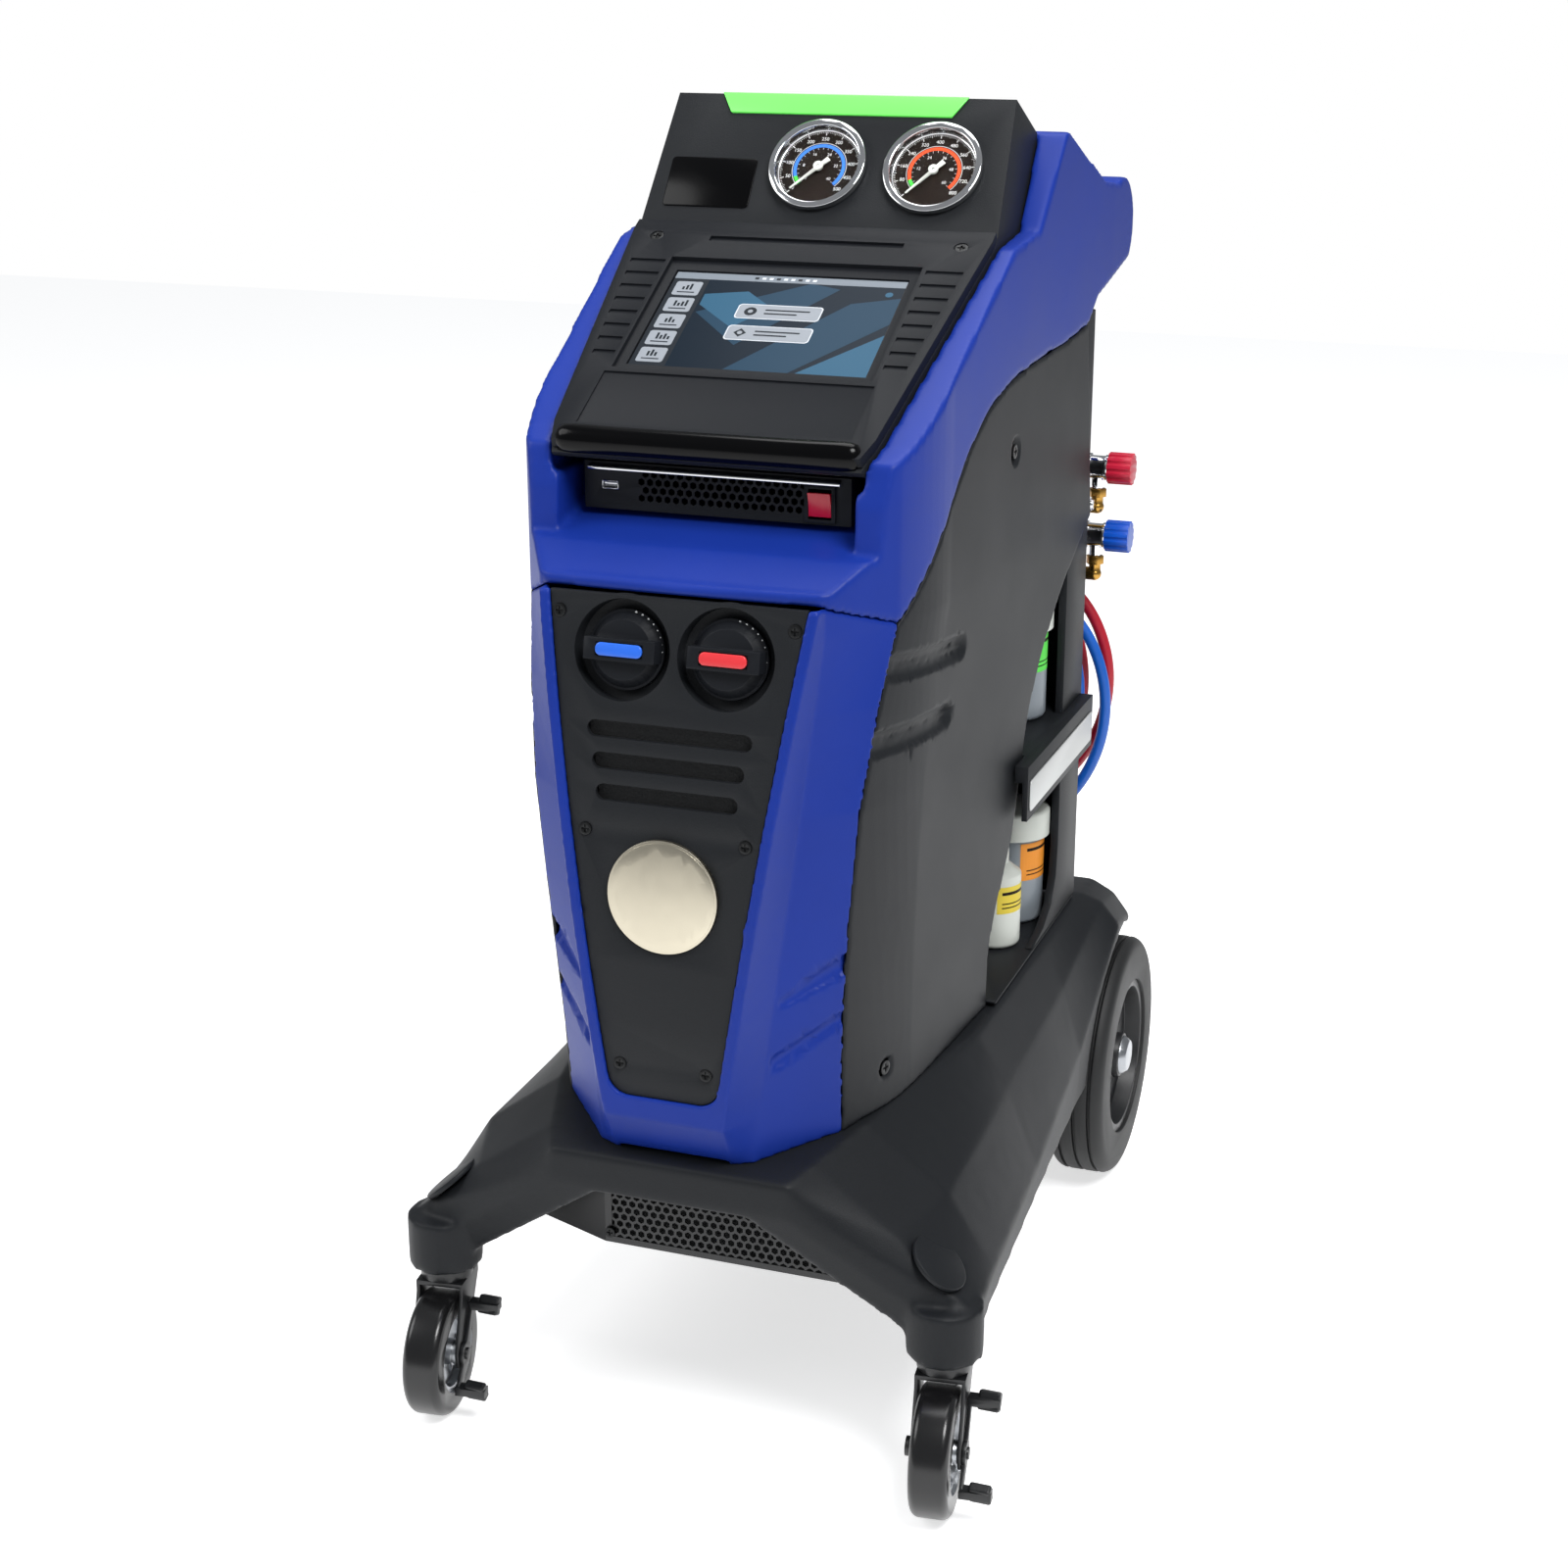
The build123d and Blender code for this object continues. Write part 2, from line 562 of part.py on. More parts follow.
# Pressure gauges: a flanged case, a dial and a needle under a flat lens
def make_gauge_case(x):
    flange = rod(on_gauge(x, GAUGE_UP, 0), GAUGE_NORMAL, GAUGE_R, 7)
    body = rod(on_gauge(x, GAUGE_UP, -30), GAUGE_NORMAL, GAUGE_R - 4, 32)
    bowl = rod(on_gauge(x, GAUGE_UP, -2), GAUGE_NORMAL, DIAL_R, 20)
    spindle = rod(on_gauge(x, GAUGE_UP, -3), GAUGE_NORMAL, 1.2, 5.5)
    return flange + body - bowl + spindle


def make_lens(x):
    return rod(on_gauge(x, GAUGE_UP, 4.5), GAUGE_NORMAL, DIAL_R, 1.2)


NEEDLE_ANGLE = (225.0, 228.0)


def make_needle(x, angle):
    plane = Plane(origin=on_gauge(x, GAUGE_UP, 0.2), x_dir=(1, 0, 0), z_dir=GAUGE_NORMAL)
    blade = make_face(Polyline((-11, -2.2), (-11, 2.2), (30, 0.6), (30, -0.6), close=True))
    blade = extrude(Rot(0, 0, angle) * blade, amount=0.8)
    hub = Cylinder(4, 2.6, align=(Align.CENTER, Align.CENTER, Align.MIN))
    needle = hub + blade - Cylinder(1.2 + RUNNING, 20)
    return plane * needle


# Printer module with its tear bar, socket and mains rocker
def make_printer():
    body = block(-PRINTER_HALF, PRINTER_HALF, PRINTER_Y, 250, PRINTER_LOW, PRINTER_HIGH)
    body -= block(-PRINTER_HALF + 3, PRINTER_HALF - 3, PRINTER_Y + 2, 248, PRINTER_LOW + 3, PRINTER_HIGH - 3)
    shapes = []
    for row in range(4):
        z = PRINTER_LOW + 10 + row * 6.4
        for column in range(19):
            shapes.append(Pos(-62 + column * 7.2 + (row % 2) * 3.6, z) * RegularPolygon(2.9, 6, rotation=30))
    plane = Plane(origin=(0, PRINTER_Y + 3, 0), x_dir=(1, 0, 0), z_dir=(0, -1, 0))
    body -= extrude(plane * (Sketch() + shapes), amount=6)
    body -= block(SOCKET_X - 7, SOCKET_X + 7, PRINTER_Y - 1, PRINTER_Y + 12, SOCKET_Z - 3.4, SOCKET_Z + 3.4)
    body -= block(SWITCH_X - 10.5, SWITCH_X + 10.5, PRINTER_Y - 1, PRINTER_Y + 22, SWITCH_Z - 13, SWITCH_Z + 13)
    return body


SOCKET_X, SOCKET_Z = -88.0, 788.0
SWITCH_X, SWITCH_Z = 85.0, 785.0


def make_tear_bar():
    y = PRINTER_Y
    bar = side_prism([(y - 5, PRINTER_HIGH - 5.5), (y, PRINTER_HIGH - 6.5), (y, PRINTER_HIGH - 1),
                      (y - 5, PRINTER_HIGH - 3.5)], -105, 102)
    return bar


def make_socket():
    x, z, y = SOCKET_X, SOCKET_Z, PRINTER_Y
    shell = block(x - 6.9, x + 6.9, y - 0.8, y + 12, z - 3.3, z + 3.3)
    shell -= block(x - 6.2, x + 6.2, y - 2, y + 11, z - 2.6, z + 2.6)
    tongue = block(x - 5.4, x + 5.4, y + 1, y + 11.5, z + 0.2, z + 1.6)
    return shell + tongue


def make_switch_frame():
    x, z, y = SWITCH_X, SWITCH_Z, PRINTER_Y
    frame = block(x - 12.5, x + 12.5, y - 2, y, z - 14, z + 14)
    frame += block(x - 10.4, x + 10.4, y - 1, y + 18, z - 12.9, z + 12.9)
    frame -= block(x - 9.3, x + 9.3, y - 3, y + 15, z - 11.8, z + 11.8)
    pin = rod((x - 10, y + 5, z), (1, 0, 0), 1.5, 20)
    return frame + pin


def make_rocker():
    x, z, y = SWITCH_X, SWITCH_Z, PRINTER_Y
    rocker = side_prism([(y + 8, z - 7.5), (y - 1.5, z - 9.6), (y - 2.2, z), (y - 5.0, z + 9.0),
                         (y + 8, z + 7.5)], x - 9, x + 9)
    return rocker - rod((x - 12, y + 5, z), (1, 0, 0), 1.5 + RUNNING, 24)


# Upper cowl: shelf under the printer, cheeks beside the hood, deck and carrying handle behind
def cheek_outline(x_low, x_high):
    shoulder = [(x_low, y, z) for y, z in shoulder_curve()]
    start = shoulder[0]
    top = [(x_low, y, z) for y, z in (
        (corner(700)[1], 700), (50, 742), (52, 790), (60, 822), (84, bezel_z(84) - 12),
        (BEZEL_BACK, bezel_z(BEZEL_BACK) - 12), (372, 962), (HEAD_BACK[0], HEAD_BACK[1]), (452, 1037),
        (585, 985), (600, 950), (572, 884), (540, BAY_TOP))]
    top[0] = start
    lines = [Polyline(*top), Spline(*reversed(shoulder))]
    return extrude(make_face(lines), amount=x_high - x_low, dir=(1, 0, 0))


def ear_outline(x_low, x_high):
    rear = ThreePointArc((x_low, 640, 978), (x_low, 703, 946), (x_low, 690, 906))
    rest = Polyline((x_low, 690, 906), (x_low, 572, 884), (x_low, 560, 920), (x_low, 585, 984.9),
                    (x_low, 640, 978))
    return extrude(make_face([rear, rest]), amount=x_high - x_low, dir=(1, 0, 0))


def upper_core(inset):
    t = 700
    p0, p1, p2, p3, p4 = flank(t)
    right = [(0, 2 + inset), (110, 5 + inset), (118 - inset * 0.5, 10 + inset)]
    z = 660
    front = Polyline(*[(x, y, z) for x, y in right], (p0[0] - inset, p0[1], z))
    one = ThreePointArc((p0[0] - inset, p0[1], z), (p1[0] - inset, p1[1], z), (p2[0] - inset, p2[1], z))
    two = ThreePointArc((p2[0] - inset, p2[1], z), (p3[0] - inset, p3[1], z), (p4[0] - inset, p4[1], z))
    back = Polyline((p4[0] - inset, p4[1], z), (p4[0] - inset, 760, z), (0, 760, z), (0, 2 + inset, z))
    half = extrude(make_face([front, one, two, back]), amount=420, dir=(0, 0, 1))
    return half + mirrored(half)


def make_cowl():
    core = upper_core(0)
    shelf = side_prism([(-20, 690), (-20, 726), (12, 735), (40, 752), (104, PRINTER_LOW), (260, PRINTER_LOW), (260, 690)],
                       -200, 200)
    shelf -= cheek_cut()
    hollow = side_prism([(-20, 600), (-20, 719), (22, 731), (44, 746), (104, PRINTER_LOW - 6), (256, PRINTER_LOW - 6), (256, 600)],
                        -200, 200) & upper_core(WALL)
    cowl = shelf & core
    cowl -= hollow
    cheek = cheek_outline(60, 240) & core
    cheek -= block(0, 121, 0, 420, 700, 1100)
    cheek -= hood_space()
    cheek -= (upper_core(WALL) & inner_cheek())
    cowl += cheek + mirrored(cheek)
    deck = side_prism([(HEAD_BACK[0] + SEAM, HEAD_BACK[1]), (585, 985), (606, 981), (606, 974), (585, 979),
                       (HEAD_BACK[0] + SEAM, HEAD_BACK[1] - 7)], -200, 200) & core
    cowl += deck
    ear = ear_outline(132, 240) & core
    cowl += ear + mirrored(ear)
    grip = rod((-134, 676, 934), (1, 0, 0), 17, 268)
    cowl += grip
    cowl -= seam_below()
    return max(solids_of(cowl), key=lambda s: s.volume)


def cheek_cut():
    shoulder = [(110, y, z) for y, z in shoulder_curve()]
    lines = [Spline(*shoulder), Polyline(shoulder[-1], (110, 540, 600), (110, 66, 600), shoulder[0])]
    cut = extrude(make_face(lines), amount=120, dir=(1, 0, 0))
    return cut + mirrored(cut)


def hood_space():
    return side_prism([(20, 805), (60, 800), (300, 800), (446, 930), (446, 1100), (300, 1100), (20, 860)],
                      -200, 200) & hood_sides(-SEAM)


def inner_cheek():
    return side_prism([(120, 755), (300, 805), (450, 925), (450, 1020), (580, 973), (580, 600), (120, 600)],
                      -300, 300)


def seam_below():
    return front_prism(both_sides([(112, SEAM_MIDDLE + SEAM), (153, SEAM_SIDE + SEAM), (260, 634), (260, 500)]),
                       -120, 66)


# Rear frame, side bays and shelves
BAY_FRONT, BAY_INNER, POST_FRONT, POST_OUT = 306.0, 60.0, 516.0, 174.0


def make_rear_frame():
    panel = block(-172, 172, REAR_FACE - 5, REAR_FACE, FLOOR_BAY + 1, 978.5)
    frame = panel
    post = side_prism([(POST_FRONT, 870), (POST_FRONT, 372), (512, 345), (498, 322), (470, 308), (430, 301),
                       (REAR_FACE, 301), (REAR_FACE, 870)], POST_OUT - 7.5, POST_OUT)
    frame += post + mirrored(post)
    hanger = rod((HOOK_X, REAR_FACE - 1, HOOK_Z), (0, 1, 0), 9, 88)
    hanger += rod((HOOK_X, REAR_FACE + 86, HOOK_Z), (0, 1, 0), 22, 4)
    return frame + hanger


def make_bay_liner():
    pieces = None
    top = BAY_TOP - 64
    wall = block(BAY_INNER - 3, BAY_INNER, BAY_FRONT, REAR_FACE - 5, FLOOR_BAY, top)
    front = block(BAY_INNER - 3, 161, BAY_FRONT - 3, BAY_FRONT, FLOOR_BAY, top)
    roof = block(BAY_INNER - 3, POST_OUT - 7.5, BAY_FRONT - 3, REAR_FACE - 5, top - 3, top)
    floor = block(BAY_INNER - 3, 174, BAY_FRONT - 3, REAR_FACE - 5, FLOOR_BAY - 3, FLOOR_BAY)
    side = wall + front + roof + floor
    across = block(-BAY_INNER, BAY_INNER, BAY_FRONT - 3, BAY_FRONT, FLOOR_BAY, top)
    middle = block(-BAY_INNER, BAY_INNER, BAY_FRONT - 3, REAR_FACE - 5, FLOOR_BAY - 3, FLOOR_BAY)
    return side + mirrored(side) + across + middle


def make_shelves():
    inner = POST_OUT - 8
    plate = block(BAY_INNER, inner, BAY_FRONT, REAR_FACE - 5, SHELF_TOP - SHELF_THICK, SHELF_TOP)
    plate -= block(BAY_INNER + 3, inner - 3, BAY_FRONT + 3, REAR_FACE - 8, SHELF_TOP - SHELF_THICK - 1,
                   SHELF_TOP - 3)
    lip = block(inner - 3, 186, 380, POST_FRONT, SHELF_TOP - 50, SHELF_TOP)
    lip += block(POST_OUT, 186, 346, REAR_FACE - 2, SHELF_TOP - 50, SHELF_TOP)
    lip -= block(150, 181, 340, POST_FRONT - 4, SHELF_TOP - 60, SHELF_TOP - SHELF_THICK)
    # the lid of the bottle below rises past the lip's end wall
    lid_side = USED_PLACE[0] + CAP_R + 3 * GAP
    lip -= block(150, lid_side, 340, POST_FRONT + 1, SHELF_TOP - 60, SHELF_TOP - SHELF_THICK)
    shelf = plate + lip
    return [shelf, mirrored(shelf)]


def make_lip_plates():
    plate = block(186, 187.2, 352, REAR_FACE - 8, SHELF_TOP - 43, SHELF_TOP - 14)
    plate = rounded(plate, plate.edges().filter_by(Axis.X), 5)
    return [plate, mirrored(plate)]


# Coupler dock on the rear: two parked service couplers and one free port
DOCK_X = 150.0
HOOK_X, HOOK_Z = 40.0, 640.0


def make_dock():
    plate = block(DOCK_X - 6, DOCK_X, REAR_FACE, COUPLER_Y + 18, COUPLER_LOW_Z - 20, COUPLER_HIGH_Z + 20)
    for z in (COUPLER_LOW_Z, COUPLER_HIGH_Z):
        plate -= rod((DOCK_X - 10, COUPLER_Y, z), (1, 0, 0), 6.3, 20)
    plate -= rod((DOCK_X - 10, PORT_Y, PORT_Z), (1, 0, 0), 4.3, 20)
    plate -= block(DOCK_X - 8, DOCK_X + 2, 613, COUPLER_Y + 30, COUPLER_HIGH_Z - ELBOW_DROP - 12,
                   COUPLER_HIGH_Z - ELBOW_DROP + 12)
    foot = block(DOCK_X - 30, DOCK_X - 6, REAR_FACE, REAR_FACE + 3, COUPLER_LOW_Z - 20, COUPLER_HIGH_Z + 20)
    return plate + foot


PORT_Y, PORT_Z = 603.0, 686.0


def make_ports():
    ports = []
    for y, z, radius in ((COUPLER_Y, COUPLER_LOW_Z, 6.3), (COUPLER_Y, COUPLER_HIGH_Z, 6.3)):
        ports.append(rod((DOCK_X - 14, y, z), (1, 0, 0), radius, 16) + rod((DOCK_X, y, z), (1, 0, 0), 9, 4))
    free = rod((DOCK_X - 12, PORT_Y, PORT_Z), (1, 0, 0), 4.3, 14)
    free += rod((DOCK_X, PORT_Y, PORT_Z), (1, 0, 0), 7, 8) + rod((DOCK_X + 8, PORT_Y, PORT_Z), (1, 0, 0), 5, 18)
    for rib in range(4):
        free += rod((DOCK_X + 11 + rib * 4, PORT_Y, PORT_Z), (1, 0, 0), 6, 1.6)
    return ports + [free]


def make_coupler(z):
    axis = (1, 0, 0)
    body = rod((DOCK_X + 4, COUPLER_Y, z), axis, 13, 14)
    body += rod((DOCK_X + 18, COUPLER_Y, z), axis, 11, 14)
    body += rod((DOCK_X + 32, COUPLER_Y, z), axis, 12, 3)
    stub = rod((DOCK_X + 35, COUPLER_Y, z), axis, 4, 10)
    neck = rod((DOCK_X + 25, COUPLER_Y, z - 8), (0, 0, -1), 6, 12)
    return body + stub + neck


ELBOW_DROP, ELBOW_OUT = 38.0, 18.0


def make_elbow(z):
    x = DOCK_X + 25
    nut = Pos(x, COUPLER_Y, z - 28) * extrude(RegularPolygon(8.5, 6), amount=8)
    turn = Pos(x, COUPLER_Y, z - ELBOW_DROP) * Sphere(6.5)
    drop = rod((x, COUPLER_Y, z - ELBOW_DROP), (0, 0, 1), 5.5, 11)
    ferrule = rod((x, COUPLER_Y, z - ELBOW_DROP), (-1, 0, 0), 6.3, ELBOW_OUT)
    return nut + turn + drop + ferrule


def make_coupler_knob(z):
    start = (DOCK_X + 35 + GAP, COUPLER_Y, z)
    knob = rod(start, (1, 0, 0), 15, 23)
    for flute in range(12):
        angle = 2 * pi * flute / 12
        knob -= rod((DOCK_X + 30, COUPLER_Y + 15.6 * cos(angle), z + 15.6 * sin(angle)), (1, 0, 0), 2.2, 34)
    return knob - rod((DOCK_X + 30, COUPLER_Y, z), (1, 0, 0), 4 + RUNNING, 15.5)


# Service hoses: from a bulkhead fitting, one hanging loop over the hook, to the coupler's elbow
LOW_HOSE = [
    (157, 622, 615), (124, 622, 615), (88, 624, 628), (44, 627, 664), (-12, 628, 652), (-58, 629, 612),
    (-90, 629, 556), (-102, 630, 492), (-90, 630, 430), (-52, 631, 378), (6, 632, 350), (70, 632, 352),
    (126, 633, 384), (158, 634, 438), (164, 635, 500), (146, 637, 560), (102, 638, 616), (46, 640, 664),
    (-16, 641, 654), (-66, 641, 612), (-102, 641, 552), (-114, 641, 484), (-100, 641, 416), (-58, 641, 358),
    (6, 641, 326), (76, 641, 328), (140, 641, 362), (178, 641, 416), (190, 641, 480), (174, 641, 542),
    (136, 641, 584), (94, 641, 600), (62, 641, 600),
]
HIGH_HOSE = [
    (157, 622, 680), (124, 622, 680), (88, 634, 688), (44, 650, 678), (-14, 653, 652), (-58, 654, 610),
    (-88, 654, 556), (-98, 655, 494), (-86, 655, 434), (-48, 656, 384), (8, 657, 358), (70, 657, 360),
    (124, 658, 392), (155, 659, 444), (162, 660, 506), (145, 662, 564), (102, 664, 618), (46, 665, 664),
    (-14, 666, 654), (-62, 666, 614), (-96, 666, 558), (-108, 666, 494), (-96, 666, 430), (-56, 666, 378),
    (4, 666, 348), (72, 666, 350), (134, 666, 382), (174, 666, 436), (187, 666, 500), (170, 666, 560),
    (132, 666, 600), (94, 666, 620), (62, 666, 620),
]


def tube(points, diameter):
    corners = [Vector(*p) for p in points]
    radii = []
    for before, here, after in zip(corners, corners[1:], corners[2:]):
        turn = (here - before).get_angle(after - here)
        short = min((here - before).length, (after - here).length)
        radii.append(0.45 * short / tan(radians(turn) / 2))
    path = FilletPolyline(*corners, radius=radii)
    section = Plane(origin=path @ 0, z_dir=path % 0) * Circle(diameter / 2)
    solid = sweep(section, path=path)
    print("hose radii", [round(r) for r in radii], "length", round(path.length),
          "volume share", round(solid.volume / (pi * diameter ** 2 / 4 * path.length), 4))
    return solid


def make_bulkhead(end):
    x, y, z = end
    foot = x - 22
    flange = rod((foot, REAR_FACE, z), (0, 1, 0), 9.5, 4)
    stub = rod((foot, REAR_FACE, z), (0, 1, 0), 6.5, y - REAR_FACE)
    turn = block(foot - 7.5, foot + 7.5, y - 7.5, y + 7.5, z - 7.5, z + 7.5)
    return flange + stub + turn + rod((foot, y, z), (1, 0, 0), 6.3, 22)


# Casters
def caster_frame(side):
    angle = radians(CASTER_TURN)
    axis = Vector(cos(angle), sin(angle), 0)
    forward = Vector(sin(angle), -cos(angle), 0)
    stem = Vector(side * CASTER_X, CASTER_Y, 0)
    axle = stem + forward * CASTER_TRAIL + Vector(0, 0, CASTER_R)
    return axis, forward, stem, axle


def make_caster_head(side):
    x = side * CASTER_X
    ring = Pos(x, CASTER_Y, 116) * Cylinder(22, 12, align=(Align.CENTER, Align.CENTER, Align.MIN))
    stem = Pos(x, CASTER_Y, 128) * Cylinder(7.9, 38, align=(Align.CENTER, Align.CENTER, Align.MIN))
    ring -= Pos(x, CASTER_Y, 115) * Cylinder(6 + RUNNING, 11, align=(Align.CENTER, Align.CENTER, Align.MIN))
    return ring + stem


def make_fork(side):
    axis, forward, stem, axle = caster_frame(side)
    plane = Plane(origin=(axle.X, axle.Y, axle.Z), x_dir=(-forward.X, -forward.Y, 0),
                  z_dir=(axis.X, axis.Y, 0))
    # local x runs back along the wheel, local y is up, local z is along the axle
    if (plane.y_dir.Z) < 0:
        plane = Plane(origin=plane.origin, x_dir=-plane.x_dir, z_dir=plane.z_dir)
    back = 1 if (plane.x_dir.dot(-forward)) > 0 else -1
    top = 116 - GAP - CASTER_R
    gap_half = CASTER_W / 2 + 1.5
    leg = make_face(Polyline((-11, -9), (11, -9), (13, 4), (back * CASTER_TRAIL + 20, top - 6),
                             (back * CASTER_TRAIL + 20, top), (back * CASTER_TRAIL - 20, top),
                             (back * CASTER_TRAIL - 20, top - 10), (-13, 4), close=True))
    legs = None
    for z_low in (gap_half, -gap_half - FORK_T):
        piece = plane * (Pos(0, 0, z_low) * extrude(leg, amount=FORK_T))
        legs = piece if legs is None else legs + piece
    crown = plane * (Pos(back * CASTER_TRAIL, top - FORK_T / 2 - 0.5, 0) * Box(
        40, FORK_T + 1, 2 * (gap_half + FORK_T)))
    pivot = Pos(stem.X, stem.Y, 116 - GAP - 1) * Cylinder(6, 10.5, align=(Align.CENTER, Align.CENTER, Align.MIN))
    pin = rod((axle - axis * (gap_half + 8)), axis, 5, 2 * (gap_half + 8))
    nut = rod((axle - axis * (gap_half + FORK_T + 5)), axis, 8, 5)
    return legs + crown + pivot + pin + nut


def wheel_ring(axle, axis, outer, inner, width):
    start = axle - axis * (width / 2)
    ring = rod(start, axis, outer, width)
    ring = rounded(ring, ring.edges().filter_by(GeomType.CIRCLE), min(width * 0.22, (outer - inner) * 0.6))
    return ring - rod((start - axis), axis, inner, width + 2)


def make_caster_tyre(side):
    axis, forward, stem, axle = caster_frame(side)
    return wheel_ring(axle, axis, CASTER_R, 34.0, CASTER_W)


def make_caster_hub(side):
    axis, forward, stem, axle = caster_frame(side)
    hub = rod((axle - axis * 13), axis, 34.0, 26)
    for sign in (1, -1):
        face = axle + axis * (13 * sign)
        dish = rod(face, (axis * -sign), 29, 7)
        core = rod((face + axis * sign), (axis * -sign), 11, 9)
        hub -= dish - core
        for hole in range(5):
            angle = 2 * pi * hole / 5
            side_way = Vector(-axis.Y, axis.X, 0) * (20 * cos(angle)) + Vector(0, 0, 20 * sin(angle))
            hub -= rod((face + side_way), (axis * -sign), 4.5, 10)
    hub += rod((axle - axis * (CASTER_W / 2 + 0.9)), axis, 10, CASTER_W + 1.8)
    return hub - rod((axle - axis * 30), axis, 5 + RUNNING, 60)


def make_brake(side):
    axis, forward, stem, axle = caster_frame(side)
    start = axle + axis * (CASTER_W / 2 + 1.5 + FORK_T + GAP)
    plane = Plane(origin=start, x_dir=forward, z_dir=axis)
    up = 1 if plane.y_dir.Z > 0 else -1
    arm = Circle(11) + Pos(0, 0) * make_face(Polyline(
        (-9, 8 * up), (-24, 34 * up), (-18, 38 * up), (-2, 12 * up), (10, -6 * up), (22, -20 * up),
        (17, -26 * up), (-2, -12 * up), close=True))
    lever = extrude(plane * arm, amount=3)
    for place, lean in (((-21, 36), 1), ((19.5, -23), -1)):
        pedal = Pos(place[0], place[1] * up, 13) * Box(11, 7, 26)
        lever += plane * pedal
    lever -= rod((start - axis * 5), axis, 5 + RUNNING, 30)
    return lever


# Rear wheels on their fixed axle
def make_rear_tyre(side):
    middle = Vector(side * (WHEEL_OUT - WHEEL_W / 2), WHEEL_Y, WHEEL_R)
    axis = Vector(side, 0, 0)
    tyre = wheel_ring(middle, axis, WHEEL_R, 78.0, WHEEL_W)
    for offset in (-15, 0, 15):
        place = middle + axis * (offset - 1.5)
        groove = rod(place, axis, WHEEL_R + 2, 3)
        groove -= rod((place - axis), axis, WHEEL_R - 4, 5)
        tyre -= groove
    return tyre


def make_rear_rim(side):
    middle = Vector(side * (WHEEL_OUT - WHEEL_W / 2), WHEEL_Y, WHEEL_R)
    axis = Vector(side, 0, 0)
    rim = rod((middle - axis * 25), axis, 78.0, 50)
    rim -= rod((middle - axis * 26), axis, 70, 18)
    rim -= rod((middle + axis * 8), axis, 70, 18)
    for spoke in range(5):
        angle = 2 * pi * (spoke + 0.5) / 5
        rim -= rod((middle - axis * 30 + Vector(0, 46 * cos(angle), 46 * sin(angle))),
                   axis, 15, 60)
    rim += rod((middle - axis * 24), axis, 22, 46)
    return rim - rod((middle - axis * 40), axis, AXLE_R + RUNNING, 58.5)


def make_hub_cap(side):
    middle = Vector(side * (WHEEL_OUT - WHEEL_W / 2), WHEEL_Y, WHEEL_R)
    axis = Vector(side, 0, 0)
    face = Plane(origin=middle + axis * 22, z_dir=axis)
    return face * Cone(20, 15, 7, align=(Align.CENTER, Align.CENTER, Align.MIN))


def make_rear_axle():
    reach = WHEEL_OUT - WHEEL_W / 2 + 18
    axle = rod((-reach, WHEEL_Y, WHEEL_R), (1, 0, 0), AXLE_R, 2 * reach)
    for side in (1, -1):
        inner = side * (WHEEL_OUT - WHEEL_W - 1.2)
        axle += rod((inner, WHEEL_Y, WHEEL_R), (-side, 0, 0), 16, 4)
    return axle


# Bottles with wide screw lids
def make_bottle(x, y, floor):
    body = Pos(x, y, floor) * Cylinder(BOTTLE_R, BOTTLE_H - CAP_H, align=(Align.CENTER, Align.CENTER, Align.MIN))
    body = rounded(body, body.edges().group_by(Axis.Z)[0], 6)
    body -= Pos(x, y, floor + 2) * Cylinder(BOTTLE_R - 1.6, BOTTLE_H, align=(Align.CENTER, Align.CENTER, Align.MIN))
    return body


def make_lid(x, y, floor):
    low = floor + BOTTLE_H - CAP_H
    lid = Pos(x, y, low) * Cylinder(CAP_R, CAP_H, align=(Align.CENTER, Align.CENTER, Align.MIN))
    return rounded(lid, lid.edges().group_by(Axis.Z)[-1], 4)


def make_dye_bottle():
    x, y = DYE_PLACE
    floor = FLOOR_BAY + GAP
    body = Pos(x, y, floor) * Cylinder(DYE_R, DYE_H - 26, align=(Align.CENTER, Align.CENTER, Align.MIN))
    shoulder = Pos(x, y, floor + DYE_H - 26) * Cone(DYE_R, 12, 10, align=(Align.CENTER, Align.CENTER, Align.MIN))
    neck = Pos(x, y, floor + DYE_H - 16) * Cylinder(12, 16, align=(Align.CENTER, Align.CENTER, Align.MIN))
    body = rounded(body, body.edges().group_by(Axis.Z)[0], 5)
    return body + shoulder + neck


OIL_PLACE = (131.0, 498.0)
USED_PLACE = (130.5, 512.0)
DYE_PLACE = (134.0, 440.0)


# Inside the cabinet
TANK_Y, TANK_R, TANK_H = 188.0, 106.0, 330.0


def make_tank():
    low = FLOOR_BAY - 6
    foot = Pos(0, TANK_Y, low) * Cylinder(80, 20, align=(Align.CENTER, Align.CENTER, Align.MIN))
    foot -= Pos(0, TANK_Y, low - 1) * Cylinder(76, 22, align=(Align.CENTER, Align.CENTER, Align.MIN))
    shell = Pos(0, TANK_Y, low + 18) * Cylinder(TANK_R, TANK_H, align=(Align.CENTER, Align.CENTER, Align.MIN))
    shell = rounded(shell, shell.edges(), 40)
    hollow = Pos(0, TANK_Y, low + 21) * Cylinder(TANK_R - 3, TANK_H - 6,
                                                 align=(Align.CENTER, Align.CENTER, Align.MIN))
    hollow = rounded(hollow, hollow.edges(), 38)
    valve = Pos(0, TANK_Y, low + 14 + TANK_H) * Cylinder(14, 40, align=(Align.CENTER, Align.CENTER, Align.MIN))
    return foot + (shell - hollow) + valve


def make_scale_platform(base):
    return block(-96, 96, TANK_Y - 96, TANK_Y + 96, 284, FLOOR_BAY - 6) - base


def make_pump():
    motor = rod((0, 505, FLOOR_BAY + 40), (0, 0, 1), 44, 150)
    block_low = block(-48, 48, 458, 552, FLOOR_BAY, FLOOR_BAY + 40)
    return motor + block_low


